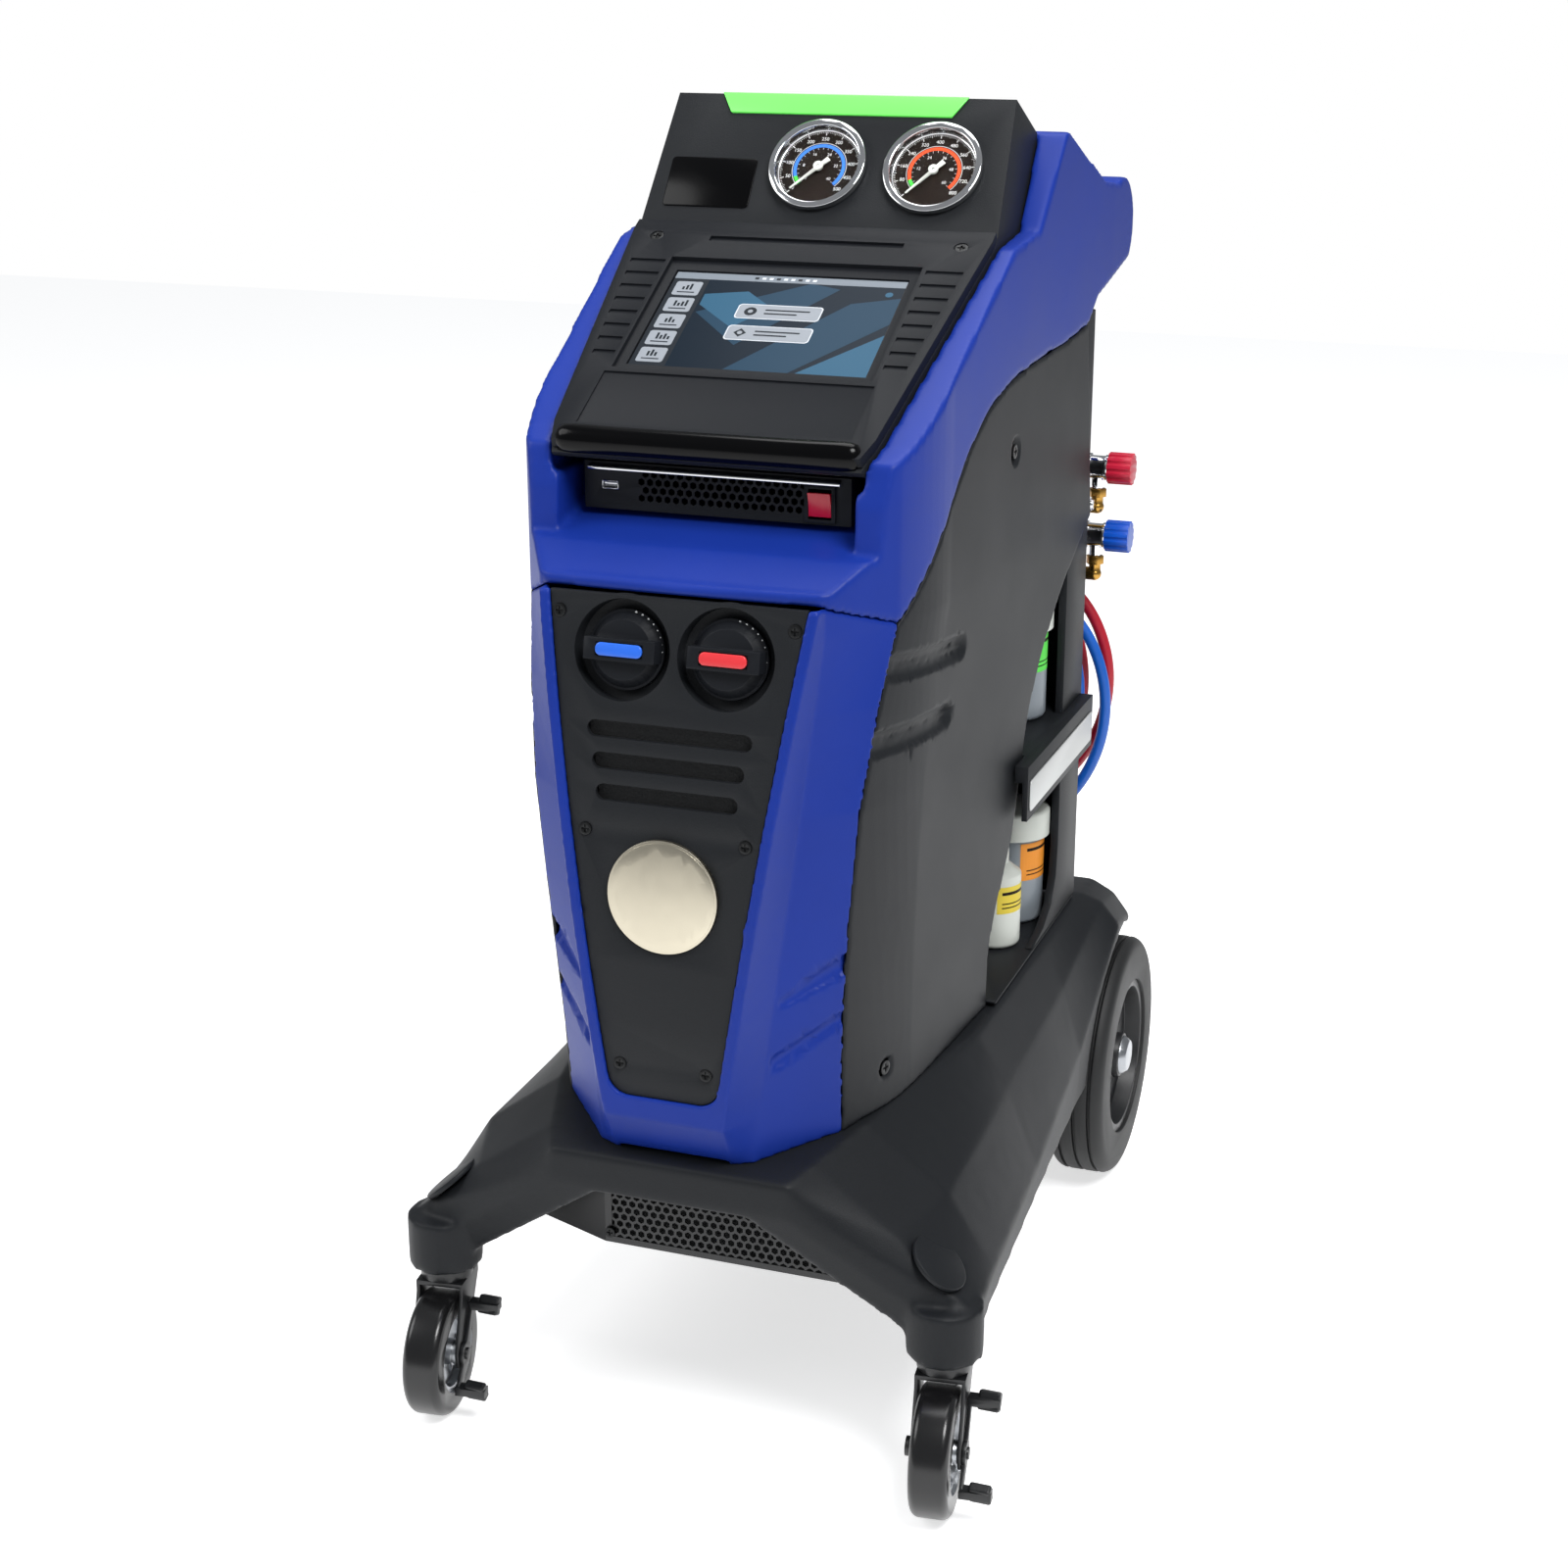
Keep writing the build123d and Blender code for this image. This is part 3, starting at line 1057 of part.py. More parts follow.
def make_compressor():
    shell = rod((0, 385, FLOOR_BAY + 12), (0, 0, 1), 50, 140)
    shell = rounded(shell, shell.edges(), 24)
    feet = block(-54, 54, 335, 435, FLOOR_BAY, FLOOR_BAY + 14)
    return shell + feet


def make_name_plate():
    place = Plane(origin=on_gauge(-102, 40, 0), x_dir=(1, 0, 0), z_dir=GAUGE_NORMAL)
    plate = Box(77, 47, 1.0, align=(Align.CENTER, Align.CENTER, Align.MIN))
    return place * rounded(plate, plate.edges().filter_by(Axis.Z), 4)


def grille_screws():
    places = ((-74, 221), (-76, 170), (62, 227), (140, 171))
    return [screw((x, GRILLE_Y, z), (0, -1, 0), 4.5, 2.4) for x, z in places]


def bezel_screws():
    return [screw(on_bezel(x, 286, -3), BEZEL_NORMAL, 5.6, 2.5) for x in (132, -132)]


def side_screws():
    return [screw((side * (x - SEAT_DEPTH), y, z), (side, -tilt, 0), 6, 2)
            for side in (1, -1) for x, y, z, tilt in side_screw_places()]


def build():
    base = make_base()
    fascia = make_fascia(base)
    side = make_side_panel(base, fascia)
    cowl = make_cowl() - fascia
    side = side - fascia - cowl
    hood = make_hood()
    low_hose, high_hose = tube(LOW_HOSE, HOSE_D), tube(HIGH_HOSE, HOSE_D)
    parts = {
        "base_molding": base,
        "leg_plugs": group([leg_plug(1), leg_plug(-1)]),
        "base_grille": make_grille(),
        "lower_fascia": fascia,
        "front_panel": make_front_panel(),
        "vent_screens": group(make_vent_slats()),
        "emblem_disc": make_emblem(),
        "upper_cowl": cowl,
        "side_panel_right": side,
        "side_panel_left": mirrored(side),
        "screws": group(grille_screws() + panel_screws() + side_screws() + bezel_screws()),
        "display_hood": hood,
        "display_bezel": make_bezel() - hood,
        "display_screen": make_screen(),
        "status_lamp": make_lamp(),
        "gauge_cases": group(make_gauge_case(x) for x in GAUGE_X),
        "gauge_lenses": group(make_lens(x) for x in GAUGE_X),
        "gauge_low_needle": make_needle(GAUGE_X[0], NEEDLE_ANGLE[0]),
        "gauge_high_needle": make_needle(GAUGE_X[1], NEEDLE_ANGLE[1]),
        "valve_low_knob": make_knob(-KNOB_X),
        "valve_low_insert": make_knob_insert(-KNOB_X),
        "valve_high_knob": make_knob(KNOB_X),
        "valve_high_insert": make_knob_insert(KNOB_X),
        "printer_housing": make_printer(),
        "printer_tear_bar": make_tear_bar(),
        "usb_socket": make_socket(),
        "power_switch_frame": make_switch_frame(),
        "power_switch_rocker": make_rocker(),
        "rear_frame": make_rear_frame() - cowl,
        "bay_liner": make_bay_liner(),
        "shelves": group([shelf - mirrored(side) - side for shelf in make_shelves()]),
        "blank_plates": group(make_lip_plates() + [make_name_plate()]),
        "coupler_dock": make_dock(),
        "service_ports": group(make_ports()),
        "service_couplers": group([make_coupler(COUPLER_LOW_Z), make_coupler(COUPLER_HIGH_Z)]),
        "coupler_elbows": group([make_elbow(COUPLER_LOW_Z), make_elbow(COUPLER_HIGH_Z)]),
        "coupler_low_knob": make_coupler_knob(COUPLER_LOW_Z),
        "coupler_high_knob": make_coupler_knob(COUPLER_HIGH_Z),
        "hose_bulkheads": group([make_bulkhead(LOW_HOSE[-1]), make_bulkhead(HIGH_HOSE[-1])]),
        "low_side_hose": low_hose,
        "high_side_hose": high_hose,
        "rear_axle": make_rear_axle(),
        "caster_heads": group([make_caster_head(1), make_caster_head(-1)]),
        "recovery_tank": make_tank(),
        "scale_platform": make_scale_platform(base),
        "vacuum_pump": make_pump(),
        "compressor": make_compressor(),
    }
    for name, place, floor in (("oil_bottle", OIL_PLACE, SHELF_TOP + GAP),
                               ("used_oil_bottle", USED_PLACE, FLOOR_BAY + GAP)):
        parts[name] = group([make_bottle(*place, floor), make_lid(*place, floor)])
    parts["dye_bottle"] = make_dye_bottle()
    return parts


def moving_pairs():
    parts = {}
    for name, side in (("right", 1), ("left", -1)):
        parts["caster_fork_" + name] = make_fork(side)
        parts["caster_wheel_" + name] = group([make_caster_tyre(side), make_caster_hub(side)])
        parts["brake_lever_" + name] = make_brake(side)
        parts["rear_tyre_" + name] = make_rear_tyre(side)
        parts["rear_rim_" + name] = group([make_rear_rim(side), make_hub_cap(side)])
    return parts


if __name__ == "__main__":
    parts = build()
    parts.update(moving_pairs())
    print(len(parts), "nodes")
    os.makedirs("parts", exist_ok=True)
    boxes = [shape.bounding_box() for name, shape in parts.items() if not name.endswith("hose")]
    middle_x = (min(b.min.X for b in boxes) + max(b.max.X for b in boxes)) / 2
    middle_y = (min(b.min.Y for b in boxes) + max(b.max.Y for b in boxes)) / 2
    print("shift", -middle_x, -middle_y)
    for name, shape in parts.items():
        placed = [Pos(-middle_x, -middle_y, 0) * solid for solid in solids_of(shape)]
        export_step(placed[0] if len(placed) == 1 else Compound(placed), "parts/" + name + ".step")
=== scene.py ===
import bpy
import bmesh
import json
from math import cos, sin, pi, radians, sqrt
from mathutils import Vector, Matrix
from mathutils.bvhtree import BVHTree

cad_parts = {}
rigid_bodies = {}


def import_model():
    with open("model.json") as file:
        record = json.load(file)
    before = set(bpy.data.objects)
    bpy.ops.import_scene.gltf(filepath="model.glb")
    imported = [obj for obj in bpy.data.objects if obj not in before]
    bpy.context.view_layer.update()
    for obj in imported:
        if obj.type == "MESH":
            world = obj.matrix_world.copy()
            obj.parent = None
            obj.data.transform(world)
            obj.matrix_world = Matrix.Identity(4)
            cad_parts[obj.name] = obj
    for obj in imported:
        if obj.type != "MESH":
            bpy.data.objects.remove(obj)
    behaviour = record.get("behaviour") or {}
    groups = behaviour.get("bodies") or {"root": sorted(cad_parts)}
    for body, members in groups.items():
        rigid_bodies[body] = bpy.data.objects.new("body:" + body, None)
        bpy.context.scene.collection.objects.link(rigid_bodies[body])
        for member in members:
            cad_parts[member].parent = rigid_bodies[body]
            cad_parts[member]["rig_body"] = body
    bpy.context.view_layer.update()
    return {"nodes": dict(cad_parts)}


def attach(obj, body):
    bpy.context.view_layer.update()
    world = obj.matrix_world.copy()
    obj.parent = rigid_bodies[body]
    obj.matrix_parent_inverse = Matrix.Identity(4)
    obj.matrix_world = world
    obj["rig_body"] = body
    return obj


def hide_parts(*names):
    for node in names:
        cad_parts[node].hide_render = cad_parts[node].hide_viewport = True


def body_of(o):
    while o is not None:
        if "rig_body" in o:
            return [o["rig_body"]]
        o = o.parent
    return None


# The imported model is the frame: every piece below sits where its solid is, in metres,
# with the floor at z = 0 and the machine's front towards -Y.
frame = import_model()
nodes = frame["nodes"]
scene = bpy.context.scene

# Viewer: a standing person in front of the machine and to its right, who looks down at it
# a little through a long-ish lens. The drawing's own origin lies at SHIFT in the row.
SHIFT = Vector((-0.010711, -0.331967, 0.0))


def at(x, y, z):
    # a point of the drawing, in millimetres, as a point of the row in metres
    return Vector((x, y, z)) / 1000 + SHIFT


def drawn(point):
    # a point of the row, in metres, as a point of the drawing in millimetres
    return (point - SHIFT) * 1000


viewer_azimuth = radians(19.926)
viewer_elevation = radians(18.369)
camera_data = bpy.data.cameras.new("viewer")
camera = bpy.data.objects.new("viewer", camera_data)
scene.collection.objects.link(camera)
camera_data.sensor_width = 36.0
camera_data.lens = 58.5
camera_data.clip_start = 0.05
back = Vector((sin(viewer_azimuth) * cos(viewer_elevation),
               -cos(viewer_azimuth) * cos(viewer_elevation), sin(viewer_elevation)))
camera.location = at(705.7, -1713.2, 1191.9)
camera.rotation_euler = back.to_track_quat("Z", "Y").to_euler()
scene.camera = camera
scene.view_settings.view_transform = "Standard"


# Base moulding: rotationally moulded black polyethylene in one piece, with broad soft
# edges. Two legs run out to the casters and the fenders swell round the rear wheels.
def linear(hex_colour):
    # an sRGB hex value as linear red, green, blue and alpha
    parts = [int(hex_colour[i:i + 2], 16) / 255 for i in (1, 3, 5)]
    return [c / 12.92 if c <= 0.04045 else ((c + 0.055) / 1.055) ** 2.4 for c in parts] + [1.0]


def add(tree, kind, sockets=None, **settings):
    # one node with its settings, values and links; a node given as a value links its first output
    node = tree.nodes.new(kind)
    for name, value in settings.items():
        setattr(node, name, value)
    for name, value in (sockets or {}).items():
        if isinstance(value, bpy.types.Node):
            value = value.outputs[0]
        if isinstance(value, bpy.types.NodeSocket):
            tree.links.new(value, node.inputs[name])
        else:
            node.inputs[name].default_value = value
    return node


def finish(name, colour, rough, grain_mm, bump, vary, metal=0.0, spread=0.05, fixed=None):
    # the colour and the gloss drift over a hand's breadth, and the surface has a grain of the given size
    drift_size, grain_depth = 0.09, 0.4
    base = linear(colour)
    dark = [c * (1 - vary * 2) for c in base[:3]] + [1.0]
    light = [min(c * (1 + vary * 2), 1.0) for c in base[:3]] + [1.0]
    material = bpy.data.materials.new(name)
    material.use_nodes = True
    tree = material.node_tree
    tree.nodes.clear()
    place = add(tree, "ShaderNodeTexCoord").outputs["Object"]
    drift = add(tree, "ShaderNodeTexNoise", {"Vector": place, "Scale": 1 / drift_size, "Detail": 3.0,
                                             "Roughness": 0.55}).outputs["Fac"]
    grain = add(tree, "ShaderNodeTexNoise", {"Vector": place, "Scale": 1000 / grain_mm, "Detail": 2.0})
    tint = add(tree, "ShaderNodeMix", {"Factor": drift, 6: dark, 7: light}, data_type="RGBA")
    gloss = add(tree, "ShaderNodeMapRange", {"Value": drift, "To Min": rough - spread,
                                             "To Max": rough + spread})
    relief = add(tree, "ShaderNodeBump", {"Height": grain.outputs["Fac"], "Strength": bump,
                                          "Distance": grain_mm / 1000 * grain_depth})
    shader = add(tree, "ShaderNodeBsdfPrincipled", {
        "Base Color": tint.outputs[2], "Roughness": gloss, "Metallic": metal, "Normal": relief,
        **(fixed or {})})
    add(tree, "ShaderNodeOutputMaterial", {"Surface": shader})
    return material


def place_piece(piece, body, slot, *replaced):
    if piece.name not in scene.collection.objects:
        scene.collection.objects.link(piece)
    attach(piece, body)
    if replaced:
        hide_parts(*replaced)
    return piece


def loose_copy(node):
    # the solid's own triangles, joined where they meet
    mesh = nodes[node].data.copy()
    mesh.transform(nodes[node].matrix_world)
    work = bmesh.new()
    work.from_mesh(mesh)
    bmesh.ops.remove_doubles(work, verts=work.verts, dist=0.00002)
    work.to_mesh(mesh)
    work.free()
    mesh.materials.clear()
    mesh.name = node + "_skin"
    return bpy.data.objects.new(node + "_skin", mesh)


def baked(piece):
    # the evaluated mesh takes the place of the modifiers
    if piece.name not in scene.collection.objects:
        scene.collection.objects.link(piece)
    bpy.context.view_layer.update()
    made = bpy.data.meshes.new_from_object(piece.evaluated_get(bpy.context.evaluated_depsgraph_get()))
    piece.modifiers.clear()
    piece.data = made
    return piece


def dressed(piece, node, material, slot):
    piece.data.materials.clear()
    piece.data.materials.append(material)
    return place_piece(piece, body_of(nodes[node])[0], slot, node)


def soft(node, material, slot, voxel_mm, rounds, ratio, packing=()):
    # a large moulding with broad rounded edges; packing is places of small balls that thicken a thin wall
    ball = 0.003
    piece = loose_copy(node)
    if packing:
        work = bmesh.new()
        work.from_mesh(piece.data)
        for spot in packing:
            bmesh.ops.create_icosphere(work, subdivisions=2, radius=ball, matrix=Matrix.Translation(spot))
        work.to_mesh(piece.data)
        work.free()
    cells = piece.modifiers.new("cells", "REMESH")
    cells.mode = "VOXEL"
    cells.voxel_size = voxel_mm / 1000
    ease = piece.modifiers.new("ease", "SMOOTH")
    ease.factor = 0.5
    ease.iterations = rounds
    thin = piece.modifiers.new("thin", "DECIMATE")
    thin.ratio = ratio
    baked(piece)
    piece.data.shade_smooth()
    return dressed(piece, node, material, slot)


# leather-fine mould texture: a dull black with broad, weak highlights
black_moulding = finish("textured black moulding", "#1B1D20", 0.50, grain_mm=1.1, bump=0.30, vary=0.05,
                        fixed={"Specular IOR Level": 0.20})
soft("base_molding", black_moulding, "black_plastic", 3.2, 4, 0.5)


# Leg plugs: two oval black caps pressed into the moulding over the caster bolts. They
# stand a little proud of the leg, so that their edge shows as a fine ring.
def crisp(node, material, slot, bevel_mm=0.6, angle=30, segments=2):
    # a moulded or pressed piece with its small edge radius
    flat_angle, sharp_angle = radians(1.5), radians(40)
    piece = loose_copy(node)
    work = bmesh.new()
    work.from_mesh(piece.data)
    bmesh.ops.dissolve_limit(work, angle_limit=flat_angle, verts=work.verts, edges=work.edges)
    work.to_mesh(piece.data)
    work.free()
    if bevel_mm:
        edge = piece.modifiers.new("edge radius", "BEVEL")
        edge.width = bevel_mm / 1000
        edge.segments = segments
        edge.limit_method = "ANGLE"
        edge.angle_limit = radians(angle)
        edge.harden_normals = False
    baked(piece)
    piece.data.shade_smooth()
    piece.data.set_sharp_from_angle(angle=sharp_angle)
    return dressed(piece, node, material, slot)


plug_rise = 0.0022
plugs = crisp("leg_plugs", black_moulding, "black_plastic", 1.0)
for vertex in plugs.data.vertices:
    side = 1 if vertex.co.x > SHIFT.x else -1
    vertex.co += Vector((side * 0.65, -0.03, 0.76)) * plug_rise


# Casters: pressed steel forks under steel heads that are bolted into the legs, with slick
# moulded treads on pressed zinc wheels. The pair is set 7 degrees out of line.
def repaint(piece, material, chosen):
    # the faces whose corners all pass the test get the second finish
    piece.data.materials.append(material)
    number = len(piece.data.materials) - 1
    for face in piece.data.polygons:
        if all(chosen(drawn(piece.data.vertices[corner].co)) for corner in face.vertices):
            face.material_index = number


# powder coat on pressed steel: an even satin black with a fine orange-peel grain
black_metal = finish("black powder coat", "#17181A", 0.36, grain_mm=0.7, bump=0.2, vary=0.05)
# polyurethane: smoother than rubber, with clear streaks of light
slick_rubber = finish("black polyurethane tread", "#141415", 0.25, grain_mm=1.4, bump=0.04, vary=0.05)
# bright zinc plate: pale metal with soft reflections
steel = finish("bright zinc steel", "#A9ACB0", 0.30, grain_mm=0.8, bump=0.08, vary=0.05, metal=1.0)
caster_x, caster_y, caster_z = 220, -24, 53.5
caster_turn = radians(7)
caster_disc = 34.3
crisp("caster_heads", black_metal, "black_metal", 0.5)
for side, sign in (("right", 1), ("left", -1)):
    crisp("caster_fork_" + side, black_metal, "black_metal", 0.5)
    wheel = crisp("caster_wheel_" + side, slick_rubber, "rubber", 1.0)
    hub = Vector((sign * caster_x - caster_y * sin(caster_turn), caster_y * cos(caster_turn), caster_z))
    axle = Vector((cos(caster_turn), sin(caster_turn), 0))
    repaint(wheel, steel, lambda p, hub=hub, axle=axle:
            ((p - hub) - axle * (p - hub).dot(axle)).length < caster_disc)

# Brake levers: bent steel strip beside each caster, powder coated, with a square pad with
# rounded corners at its upper end to press down and one at its lower end to lift.
pad_wide, pad_thick, pad_high = 0.018, 0.009, 0.016
pad_start = 0.012
pad_radius = 0.002
for side in ("right", "left"):
    lever = crisp("brake_lever_" + side, black_metal, "black_metal", 0.5)
    inner_side = min(v.co.x for v in lever.data.vertices)
    work = bmesh.new()
    for low, high, lean in ((0.078, 0.200, -25), (0.0, 0.036, 20)):
        tip = [v.co for v in lever.data.vertices if low < v.co.z < high and v.co.x > inner_side + pad_start]
        middle = sum(tip, Vector()) / len(tip) - Vector((pad_wide / 2, 0, 0))
        place = Matrix.Translation(middle) @ Matrix.Rotation(radians(lean), 4, "X")
        pad_size = Matrix.Diagonal((pad_wide, pad_thick, pad_high, 1))
        bmesh.ops.create_cube(work, size=1.0, matrix=place @ pad_size)
    bmesh.ops.bevel(work, geom=work.edges[:], offset=pad_radius, segments=3, profile=0.5, affect="EDGES")
    bmesh.ops.recalc_face_normals(work, faces=work.faces)
    mesh = bpy.data.meshes.new("brake_pads_" + side)
    work.to_mesh(mesh)
    work.free()
    mesh.materials.append(black_metal)
    place_piece(bpy.data.objects.new("brake_pads_" + side, mesh), "caster_brake_" + side, "black_metal")

# Rear wheels: black rubber tyres on moulded polypropylene rims, which turn on one long
# zinc plated axle. The axle's end shows as a bright button in the middle of each rim.
# tyre rubber: a deep matt black that is a little dusty
rubber = finish("black tyre rubber", "#161718", 0.60, grain_mm=0.8, bump=0.25, vary=0.08)
# moulded hub: duller than the base, with a fine grain
cage_black = finish("black polypropylene hub", "#202123", 0.40, grain_mm=0.8, bump=0.15, vary=0.05)
wheel_y, wheel_z = 622, 120
button_radius, button_start = 20.4, 222.8
crisp("rear_axle", steel, "steel", 0.4)
for side, sign in (("right", 1), ("left", -1)):
    crisp("rear_tyre_" + side, rubber, "rubber", 1.0)
    rim = crisp("rear_rim_" + side, cage_black, "rim_plastic", 1.0)
    repaint(rim, steel, lambda p, sign=sign: sign * p.x > button_start
            and sqrt((p.y - wheel_y) ** 2 + (p.z - wheel_z) ** 2) < button_radius)

# Frame and what stands on the base inside: a black back frame with its posts, the liner of
# the side bays, and the steel tank on its weighing platform with the vacuum pump and the
# compressor beside it.
crisp("rear_frame", black_moulding, "black_plastic", 1.2)
crisp("bay_liner", black_moulding, "black_plastic", 1.2)
crisp("scale_platform", steel, "steel", 0.4)
for name in ("recovery_tank", "vacuum_pump", "compressor"):
    nodes[name].data.materials[0] = steel

# Perforated grille: 1.2 mm steel sheet with close hexagonal holes and a plain border,
# powder coated black, with a plain wing bent back towards the left leg.
sheet = bpy.data.node_groups.new("perforated sheet", "GeometryNodeTree")
for title, kind in (("Geometry", "NodeSocketGeometry"), ("Pitch", "NodeSocketFloat"),
                    ("Hole radius", "NodeSocketFloat"), ("Columns", "NodeSocketInt"),
                    ("Rows", "NodeSocketInt"), ("Finish", "NodeSocketMaterial")):
    sheet.interface.new_socket(title, in_out="INPUT", socket_type=kind)
sheet.interface.new_socket("Geometry", in_out="OUTPUT", socket_type="NodeSocketGeometry")
sizes = add(sheet, "NodeGroupInput").outputs
# a grid of hole centres, with every second row moved along by half a pitch
row_gap = add(sheet, "ShaderNodeMath", {0: sizes["Pitch"], 1: sqrt(3) / 2}, operation="MULTIPLY")
column_gaps = add(sheet, "ShaderNodeMath", {0: sizes["Columns"], 1: 1.0}, operation="SUBTRACT")
row_gaps = add(sheet, "ShaderNodeMath", {0: sizes["Rows"], 1: 1.0}, operation="SUBTRACT")
wide = add(sheet, "ShaderNodeMath", {0: sizes["Pitch"], 1: column_gaps}, operation="MULTIPLY")
tall = add(sheet, "ShaderNodeMath", {0: row_gap, 1: row_gaps}, operation="MULTIPLY")
grid = add(sheet, "GeometryNodeMeshGrid", {"Size X": wide, "Size Y": tall, "Vertices X": sizes["Columns"],
                                           "Vertices Y": sizes["Rows"]})
number = add(sheet, "GeometryNodeInputIndex")
row_number = add(sheet, "ShaderNodeMath", {0: number, 1: sizes["Rows"]}, operation="MODULO")
odd_row = add(sheet, "ShaderNodeMath", {0: row_number, 1: 2.0}, operation="MODULO")
half_pitch = add(sheet, "ShaderNodeMath", {0: sizes["Pitch"], 1: 0.5}, operation="MULTIPLY")
sideways = add(sheet, "ShaderNodeMath", {0: odd_row, 1: half_pitch}, operation="MULTIPLY")
stagger = add(sheet, "ShaderNodeCombineXYZ", {"X": sideways})
centres = add(sheet, "GeometryNodeSetPosition", {"Geometry": grid, "Offset": stagger})
# the sheet's slanted shoulders: beyond each of them the rows lose holes, in metres from the middle
right_shoulder, right_slope = 0.0165, 0.738
left_shoulder, left_slope = 0.106, 0.9
holes_top = 0.0335
spot = add(sheet, "ShaderNodeSeparateXYZ", {"Vector": add(sheet, "GeometryNodeInputPosition")}).outputs
past_right = add(sheet, "ShaderNodeMath", {0: spot["X"], 1: right_shoulder}, operation="SUBTRACT")
right_drop = add(sheet, "ShaderNodeMath", {0: past_right, 1: right_slope}, operation="MULTIPLY")
right_height = add(sheet, "ShaderNodeMath", {0: spot["Y"], 1: right_drop}, operation="ADD")
past_left = add(sheet, "ShaderNodeMath", {0: spot["X"], 1: left_shoulder}, operation="ADD")
left_drop = add(sheet, "ShaderNodeMath", {0: past_left, 1: left_slope}, operation="MULTIPLY")
left_height = add(sheet, "ShaderNodeMath", {0: spot["Y"], 1: left_drop}, operation="SUBTRACT")
highest = add(sheet, "ShaderNodeMath", {0: right_height, 1: left_height}, operation="MAXIMUM")
outside = add(sheet, "ShaderNodeMath", {0: highest, 1: holes_top}, operation="GREATER_THAN")
kept = add(sheet, "GeometryNodeDeleteGeometry", {"Geometry": centres, "Selection": outside}, domain="POINT")
# one hexagonal cell with its hole, set on each centre
cell_radius = add(sheet, "ShaderNodeMath", {0: sizes["Pitch"], 1: 1 / sqrt(3)}, operation="MULTIPLY")
cell = add(sheet, "GeometryNodeMeshCircle", {"Vertices": 6, "Radius": cell_radius}, fill_type="NGON")
raised = add(sheet, "GeometryNodeExtrudeMesh", {"Mesh": cell, "Offset Scale": 0.0}, mode="FACES")
hole_share = add(sheet, "ShaderNodeMath", {0: sizes["Hole radius"], 1: cell_radius}, operation="DIVIDE")
shrunk = add(sheet, "GeometryNodeScaleElements", {"Geometry": raised, "Selection": raised.outputs["Top"],
                                                  "Scale": hole_share}, domain="FACE")
ring = add(sheet, "GeometryNodeDeleteGeometry", {"Geometry": shrunk, "Selection": raised.outputs["Top"]},
           domain="FACE")
turned = add(sheet, "GeometryNodeTransform", {"Geometry": ring, "Rotation": (0, 0, radians(30))})
cells = add(sheet, "GeometryNodeInstanceOnPoints", {"Points": kept, "Instance": turned})
real = add(sheet, "GeometryNodeRealizeInstances", {"Geometry": cells})
joined = add(sheet, "GeometryNodeMergeByDistance", {"Geometry": real, "Distance": 0.0002})
coated = add(sheet, "GeometryNodeSetMaterial", {"Geometry": joined, "Material": sizes["Finish"]})
add(sheet, "NodeGroupOutput", {"Geometry": coated})

grille = bpy.data.objects.new("grille_sheet", bpy.data.meshes.new("grille_sheet"))
punch = grille.modifiers.new("punch", "NODES")
punch.node_group = sheet
wanted = {"Pitch": 0.0076, "Hole radius": 0.0031, "Columns": 32, "Rows": 11, "Finish": black_metal}
for item in sheet.interface.items_tree:
    if item.item_type == "SOCKET" and item.in_out == "INPUT" and item.name in wanted:
        punch[item.identifier] = wanted[item.name]
baked(grille)
holes_x, holes_y, holes_z = 42.5, 20.8, 198.0
lowest_hole = 0.1615
border_y = 20.4
outer = [(-81, 222.5), (-63, 236), (63, 236), (166, 160), (-81, 160)]
inner = [(-75, 217.0), (-60, 229.5), (60.5, 229.5), (147, 165.5), (-75, 165.5)]
wing = [(-81, border_y, 221), (-81, border_y, 160), (-160, 50.4, 160)]
work = bmesh.new()
work.from_mesh(grille.data)
for vertex in work.verts:
    vertex.co = at(vertex.co.x * 1000 + holes_x, holes_y, vertex.co.y * 1000 + holes_z)
bmesh.ops.delete(work, geom=[v for v in work.verts if v.co.z < lowest_hole], context="VERTS")
for i in range(len(outer)):
    j = (i + 1) % len(outer)
    work.faces.new([work.verts.new(at(x, border_y, z)) for x, z in (outer[i], outer[j], inner[j], inner[i])])
work.faces.new([work.verts.new(at(*corner)) for corner in wing])
for face in work.faces:
    face.normal_update()
    if face.normal.y > 0:
        face.normal_flip()
    face.material_index = 0
work.to_mesh(grille.data)
work.free()
grille.data.materials.clear()
grille.data.materials.append(black_metal)
thick = grille.modifiers.new("sheet", "SOLIDIFY")
thick.thickness = 0.0012
thick.offset = -1
place_piece(grille, "station", "black_metal", "base_grille")

# Painted shade behind the grille: a flat sheet in the dark foam finish, cut to the grille's outline
# and held by its border, stands in for the shade inside the base, so that the base looks dark through the
# holes.
# open cell foam, also used for the painted shade behind the grille: no gloss at all and a coarse, uneven
# surface
foam = finish("open cell foam and painted shade", "#1B1C1D", 0.95, grain_mm=2.2, bump=1.0, vary=0.2)
shade_sheet_y = 25.0
shade_sheet_mesh = bpy.data.meshes.new("grille_shade_sheet")
# painted shade: a flat dark sheet where the inside of the base lies in shade
shade_sheet_mesh.from_pydata([at(x, shade_sheet_y, z) for x, z in outer], [], [(0, 4, 3, 2, 1)])
shade_sheet_mesh.materials.append(foam)
place_piece(bpy.data.objects.new("grille_shade_sheet", shade_sheet_mesh), "station", "foam")


# Lower fascia: a thick blue ABS moulding, coloured in the mass, screwed to the frame. Two
# short finger hollows are pressed into each of its slanted cheeks.
def scallop(piece, one, two, depth, reach, inward):
    # a long shallow hollow along the line between two points of the drawing
    start, run = Vector(one), Vector(two) - Vector(one)
    for vertex in piece.data.vertices:
        spot = drawn(vertex.co)
        along = min(max((spot - start).dot(run) / run.length_squared, 0.0), 1.0)
        gap = (spot - start - run * along).length
        if gap < reach:
            vertex.co += Vector(inward) * depth / 1000 * (1 - (gap / reach) ** 4)


